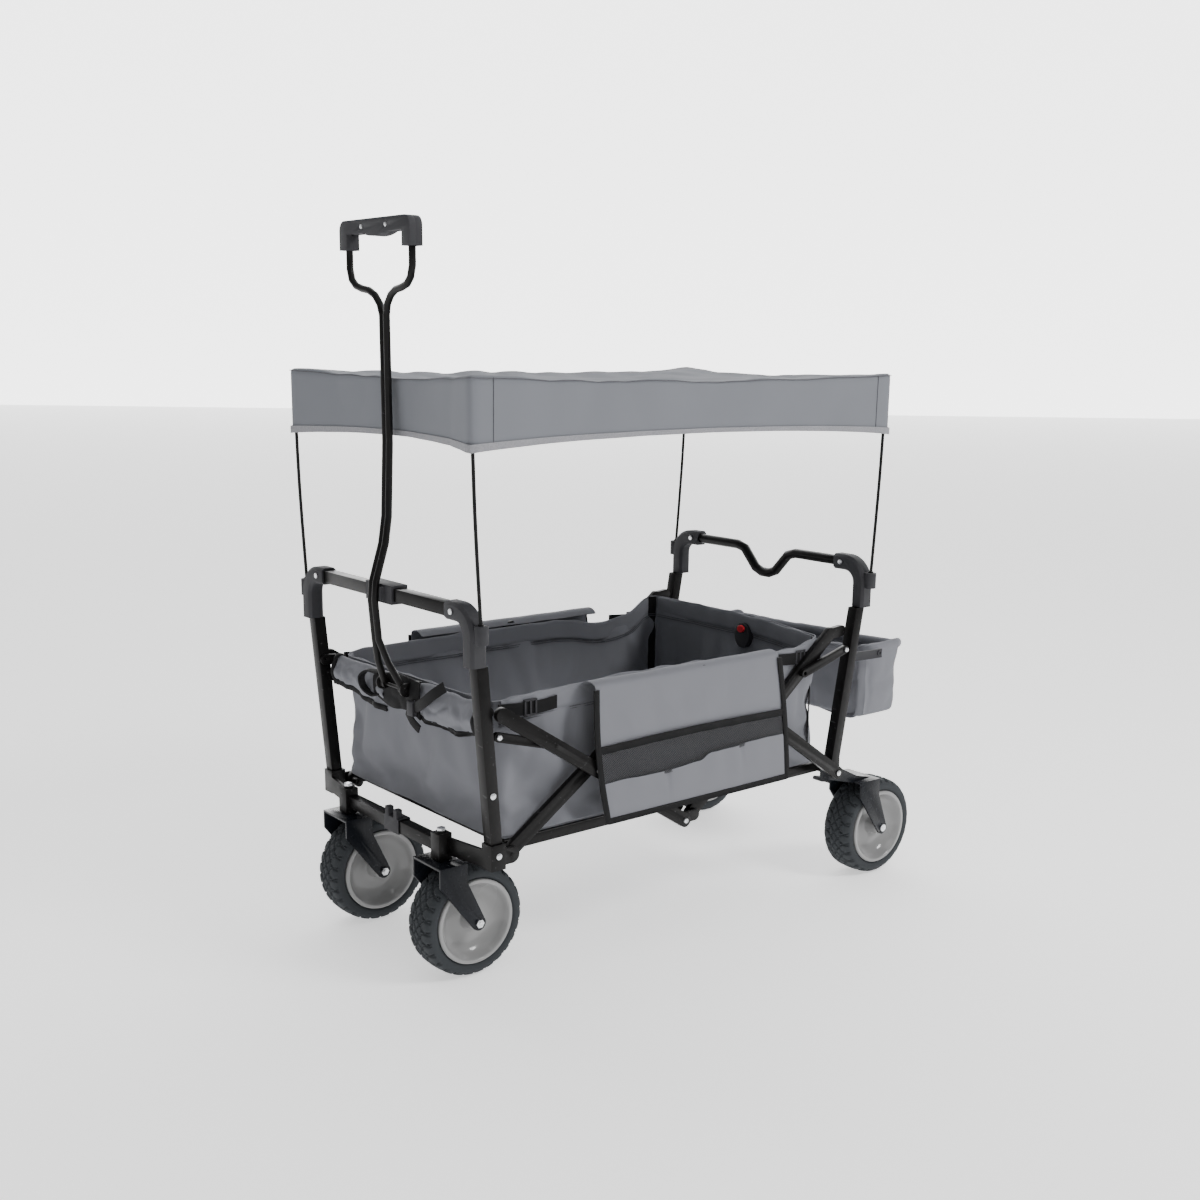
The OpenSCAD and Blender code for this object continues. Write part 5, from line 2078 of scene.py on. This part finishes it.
@dataclass
class RearBag:
    """The bag on the rear posts: padded walls, a rolled rim and two hanging loops."""

    columns: int = 150
    rows: int = 22
    corner: float = 0.022
    roll: float = 0.0075
    wall: float = 0.0040

    def __post_init__(self) -> None:
        """Takes the bag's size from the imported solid."""
        self.low, self.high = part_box("rear_bag")
        x0, x1, w = self.low.x, self.high.x, self.high.y
        points = round_corners(x0, x1, w, self.corner)
        rear = [(x1, -w * 0.3, 0), (x1, w * 0.3, 0)]
        front = [(x0, w * 0.3, 0), (x0, -w * 0.3, 0)]
        half = 2 * CORNER_STEPS
        points = points[:half] + rear + points[half:] + front
        self.plan = Track(points, closed=True)
        self.middle = Vector(((x0 + x1) / 2, 0, (self.low.z + self.high.z) / 2))

    def out(self, u: float) -> Vector:
        """The way out of the bag at a share of the way round."""
        return self.plan.outward(u)

    def rim(self, p: Vector) -> float:
        """Height of the rim at a place on the plan."""
        side = self.high.y - 0.02
        return self.high.z + (-0.010 if abs(p.y) < side else -0.004) + 0.005 * ripple(
            Vector((p.x, p.y, 0)), 0.10, 2.0) + 0.009 * (p.y / self.high.y) * -0.5

    def wall_point(self, u: float, v: float) -> Vector:
        """A point of the bag's walls and floor.

        Args:
            u: Share of the way round.
            v: Share of the way from the middle of the floor up to the rim.

        Returns:
            Its place.
        """
        p = self.plan.at(u)
        floor = 0.30
        if v < floor:
            t = v / floor
            edge = p - self.out(u) * 0.0105 - Vector((self.middle.x, 0, 0))
            q = Vector((self.middle.x + edge.x * t, edge.y * t, self.low.z))
            q.z += 0.009 * t ** 6 + 0.004 * ripple(Vector((q.x, q.y, 0)), 0.06, 3.0) * (1 - t)
            return q
        t = (v - floor) / (1 - floor)
        z = self.low.z + 0.010 + (self.rim(p) - self.low.z - 0.010) * t
        tuck = 0.0105 * (1 - rise(t, 0.0, 0.32))
        place = Vector((p.x, p.y, z))
        free = math.sin(math.pi * min(1.0, t * 1.02)) ** 0.8
        folds = 0.0080 * abs(ripple(place, 0.055, 6.0)) + 0.0070 * crease(
            Vector((p.x, p.y * 0.8, z * 1.4)), 0.10, 2.0) + 0.0012 * ripple(place, 0.02, 8.0)
        on_end = abs(p.y) > self.high.y - 0.004
        seam = 0.0035 * math.exp(-((p.x - self.low.x - 0.026) / 0.0022) ** 2) if on_end else 0
        return place - self.out(u) * (tuck + folds * free + seam + 0.0006)

    def build(self) -> None:
        """Makes the shell, its rolled rim and the hanging loops."""
        shell = net("bag_shell", self.columns, self.rows + 10, self.wall_point, closed=True)
        outward(shell)
        Drape(frames=16, gravity=0.3, growth=0.014, cap=0.006, bending=0.5).run(
            shell, lambda p: 1.0 if p.z > self.high.z - 0.030 or p.z < self.low.z + 0.004 else 0.15,
            self.keep_inside)
        finer(shell)
        thicken(shell, self.wall)
        line = Track([self.rim_line(k / 90) for k in range(90)], closed=True)
        rim = pipe("bag_rim", line, lambda v: self.roll * (1 + 0.14 * ripple(line.at(v), 0.028, 4.0)), 14,
                   320, 1.35)
        carry(shell, GREY_CANVAS, "rear_frame", ["rear_bag"], 70)
        carry(rim, GREY_CANVAS, "rear_frame", (), 70)
        self.loops()

    def keep_inside(self, start: Vector, place: Vector) -> Vector:
        """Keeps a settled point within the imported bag."""
        place.x = min(max(place.x, self.low.x), self.high.x + 0.003)
        place.y = min(max(place.y, self.low.y - 0.003), self.high.y + 0.003)
        place.z = max(place.z, self.low.z - 0.003)
        return place

    def rim_line(self, t: float) -> Vector:
        """The middle of the rolled rim at a share of the way round."""
        p = self.plan.at(t)
        return Vector((p.x, p.y, self.rim(p) - self.roll)) - self.out(t) * (self.roll * 0.86)

    def loops(self) -> None:
        """The two webbing loops that hold the bag to the posts, with their eyelets."""
        low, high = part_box("bag_hangers")
        parts = []
        for side in (1, -1):
            y = side * (high.y - 0.0022)
            line = Track([(low.x + 0.001, y, high.z - 0.012), (low.x + 0.006, y, high.z - 0.010),
                          (low.x * 0.5 + high.x * 0.5, y, high.z - 0.012),
                          (high.x - 0.002, y, high.z - 0.013)])
            parts.append(strip("loop", line, 0.018, lambda v: UP, 0.0030, 24))
            eye = Vector((high.x - 0.010, y + side * 0.0006, high.z - 0.012))
            parts.append(lathe("eyelet", [(0.0028, -0.002), (0.0060, -0.002), (0.0066, 0.0), (0.0060, 0.002),
                                          (0.0028, 0.002)], eye, 24))
        carry(joined("bag_loops", parts), BLACK_PLASTIC, "rear_frame", ["bag_hangers"])


@dataclass
class Buckle:
    """Belt socket on the rear wall: a black oval with a red button."""

    def oval(self, name: str, centre: Vector, half: Vector, depth: float, edge: float) -> bpy.types.Object:
        """An oval button that faces the front.

        Args:
            name: Its name.
            centre: The middle of its back.
            half: Half its width and height.
            depth: How far it stands forward.
            edge: Width of its rounding.

        Returns:
            The button.
        """
        def shape(u: float, v: float) -> Vector:
            """Place on the button.

            Args:
                u: Share of the way round.
                v: Share of the way from the back to the middle of the front.

            Returns:
                The place.
            """
            turn = 2 * math.pi * u
            t = max(0.0, (v - 0.45) / 0.55)
            radial = 1.0 - edge * (1 - math.cos(t * math.pi / 2)) - (1 - edge) * rise(t, 0.25, 1.0) * t
            forward = depth * min(1.0, v / 0.45) * (0.82 + 0.18 * math.sin(t * math.pi / 2))
            return centre + Vector((-forward, half.y * radial * math.cos(turn),
                                    half.z * radial * math.sin(turn)))

        return outward(net(name, 48, 16, shape, closed=True))

    def build(self) -> None:
        """Makes the socket and its button."""
        low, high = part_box("belt_buckle")
        red_low, red_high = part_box("buckle_button")
        base = Vector((high.x, (low.y + high.y) / 2, (low.z + high.z) / 2))
        half = (high - low) / 2
        socket = self.oval("belt_socket", base, half, high.x - low.x, 0.12)
        top = Vector((low.x + 0.002, (red_low.y + red_high.y) / 2, (red_low.z + red_high.z) / 2))
        button = self.oval("release_button", top, (red_high - red_low) / 2, low.x - red_low.x + 0.002, 0.15)
        carry(socket, BLACK_PLASTIC, body_of("belt_buckle"), ["belt_buckle"])
        carry(button, RED_PLASTIC, body_of("buckle_button"), ["buckle_button"])


@dataclass
class FloorPad:
    """The quilted pad on the floor, creased over the middle hinge."""

    columns: int = 96
    rows: int = 54
    bulge: float = 0.0035
    quilt_x: float = 0.0981
    quilt_y: float = 0.098
    crease_half: float = 0.012

    def build(self) -> None:
        """Makes the pad with a shallow crease over the middle hinge."""
        low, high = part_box("floor_liner")
        middle, half = (low + high) / 2, (high - low) / 2

        def shape(u: float, v: float) -> Vector:
            """Place on the pad's top.

            Args:
                u: Share of the way along.
                v: Share of the way across.

            Returns:
                The place.
            """
            x, y = low.x + 2 * half.x * u, low.y + 2 * half.y * v
            return Vector((x, y, high.z))

        pad = net("floor_pad", self.columns, self.rows, shape)
        thicken(pad, high.z - low.z, -1.0)
        outward(pad)

        def quilt(p: Vector) -> Vector:
            """Puffs the pad between its quilting lines."""
            if p.z < middle.z:
                return p
            across = abs(math.sin(math.pi * (p.x - low.x) / self.quilt_x))
            cells = across * abs(math.sin(math.pi * (p.y - low.y) / self.quilt_y))
            fold = rise(abs(p.x - hinge("floor_rear_fold").x), 0.0, self.crease_half)
            p.z += self.bulge * (cells ** 0.35 - 1) + 0.0012 * ripple(Vector((p.x, p.y, 0)), 0.06, 3.0)
            p.z -= 0.0025 * (1 - fold)
            return p

        reshape(pad, quilt)
        Drape(frames=10, gravity=0.1, pressure=0.4, cap=0.003, stiffness=30.0).run(
            pad, lambda p: 1.0 if p.z < middle.z else 0.5,
            lambda a, b: Vector((min(max(b.x, low.x), high.x), min(max(b.y, low.y), high.y),
                                 min(max(b.z, low.z), high.z + 0.002))))
        finer(pad)
        pad.data.materials.clear()
        pad.data.materials.append(GREY_CANVAS.material())
        pick(pad)
        bpy.ops.object.shade_smooth_by_angle(angle=math.radians(70))
        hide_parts("floor_liner")
        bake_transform(pad)


# ------------------------------------------------------------------ studio


@dataclass
class Studio:
    """Pale floor, soft light and the camera."""

    eye: Vector = field(default_factory=lambda: Vector((-1.7622, -2.0915, 1.0660)))
    yaw: float = -0.689
    pitch: float = -0.217
    roll: float = 0.012
    lens: float = 42.93
    shift: tuple[float, float] = (-0.0025, 0.0496)

    def camera(self) -> None:
        """Places the camera."""
        flat = math.cos(self.pitch)
        forward = Vector((-math.sin(self.yaw) * flat, math.cos(self.yaw) * flat, math.sin(self.pitch)))
        right = forward.cross(UP).normalized()
        up = right.cross(forward)
        side = right * math.cos(self.roll) + up * math.sin(self.roll)
        top = up * math.cos(self.roll) - right * math.sin(self.roll)
        bpy.ops.object.camera_add()
        camera = bpy.context.object
        camera.name = "camera"
        turn = Matrix((side, top, -forward)).transposed().to_4x4()
        camera.matrix_world = Matrix.Translation(self.eye) @ turn
        camera.data.sensor_width = 36.0
        camera.data.lens = self.lens
        camera.data.shift_x, camera.data.shift_y = self.shift
        bpy.context.scene.camera = camera

    def light(self, name: str, place: Sequence[float], size: float, watts: float) -> None:
        """Adds one soft light that looks at the wagon.

        Args:
            name: Its name.
            place: Where it is.
            size: Its width.
            watts: Its power.
        """
        bpy.ops.object.light_add(type="AREA", location=place)
        lamp = bpy.context.object
        lamp.name = name
        lamp.data.shape = "DISK"
        lamp.data.size = size
        lamp.data.energy = watts
        aim = Vector((0, 0, 0.5)) - Vector(place)
        lamp.rotation_euler = aim.to_track_quat("-Z", "Y").to_euler()

    def build(self) -> None:
        """Makes the floor, lights and camera."""
        bpy.ops.object.select_all(action="DESELECT")
        bpy.ops.mesh.primitive_plane_add(size=60)
        floor = bpy.context.object
        floor.name = "studio_floor"
        floor.data.materials.append(PALE_GROUND.material())
        bpy.ops.object.select_all(action="DESELECT")
        bpy.ops.mesh.primitive_plane_add(size=60, location=(13, 16, 0), rotation=(math.pi / 2, 0, self.yaw))
        wall = bpy.context.object
        wall.name = "studio_wall"
        wall.data.materials.append(PALE_WALL.material())
        self.light("key", (1.9, -3.6, 3.8), 1.5, 150.0)
        self.light("top", (-1.2, -1.2, 4.6), 3.6, 60.0)
        world = bpy.data.worlds.new("pale_world")
        world.use_nodes = True
        world.node_tree.nodes["Background"].inputs["Color"].default_value = (1.0, 1.0, 1.0, 1.0)
        world.node_tree.nodes["Background"].inputs["Strength"].default_value = 0.30
        bpy.context.scene.world = world
        self.camera()


def main() -> None:
    """Builds every piece, then the studio."""
    logging.basicConfig(level=logging.INFO, format="%(name)s: %(message)s")
    pieces = [HardParts(), Rivets(), CanopyRods(), Wheels(), SunCanopy(), Basket(), FrontFlap(),
              SidePocket(-1, "right"), SidePocket(1, "left"), Straps(), RearBag(), Buckle(), FloorPad()]
    for piece in pieces:
        piece.build()
        LOG.info("built %s", type(piece).__name__)
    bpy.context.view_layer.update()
    Studio().build()


if __name__ == "__main__":
    main()
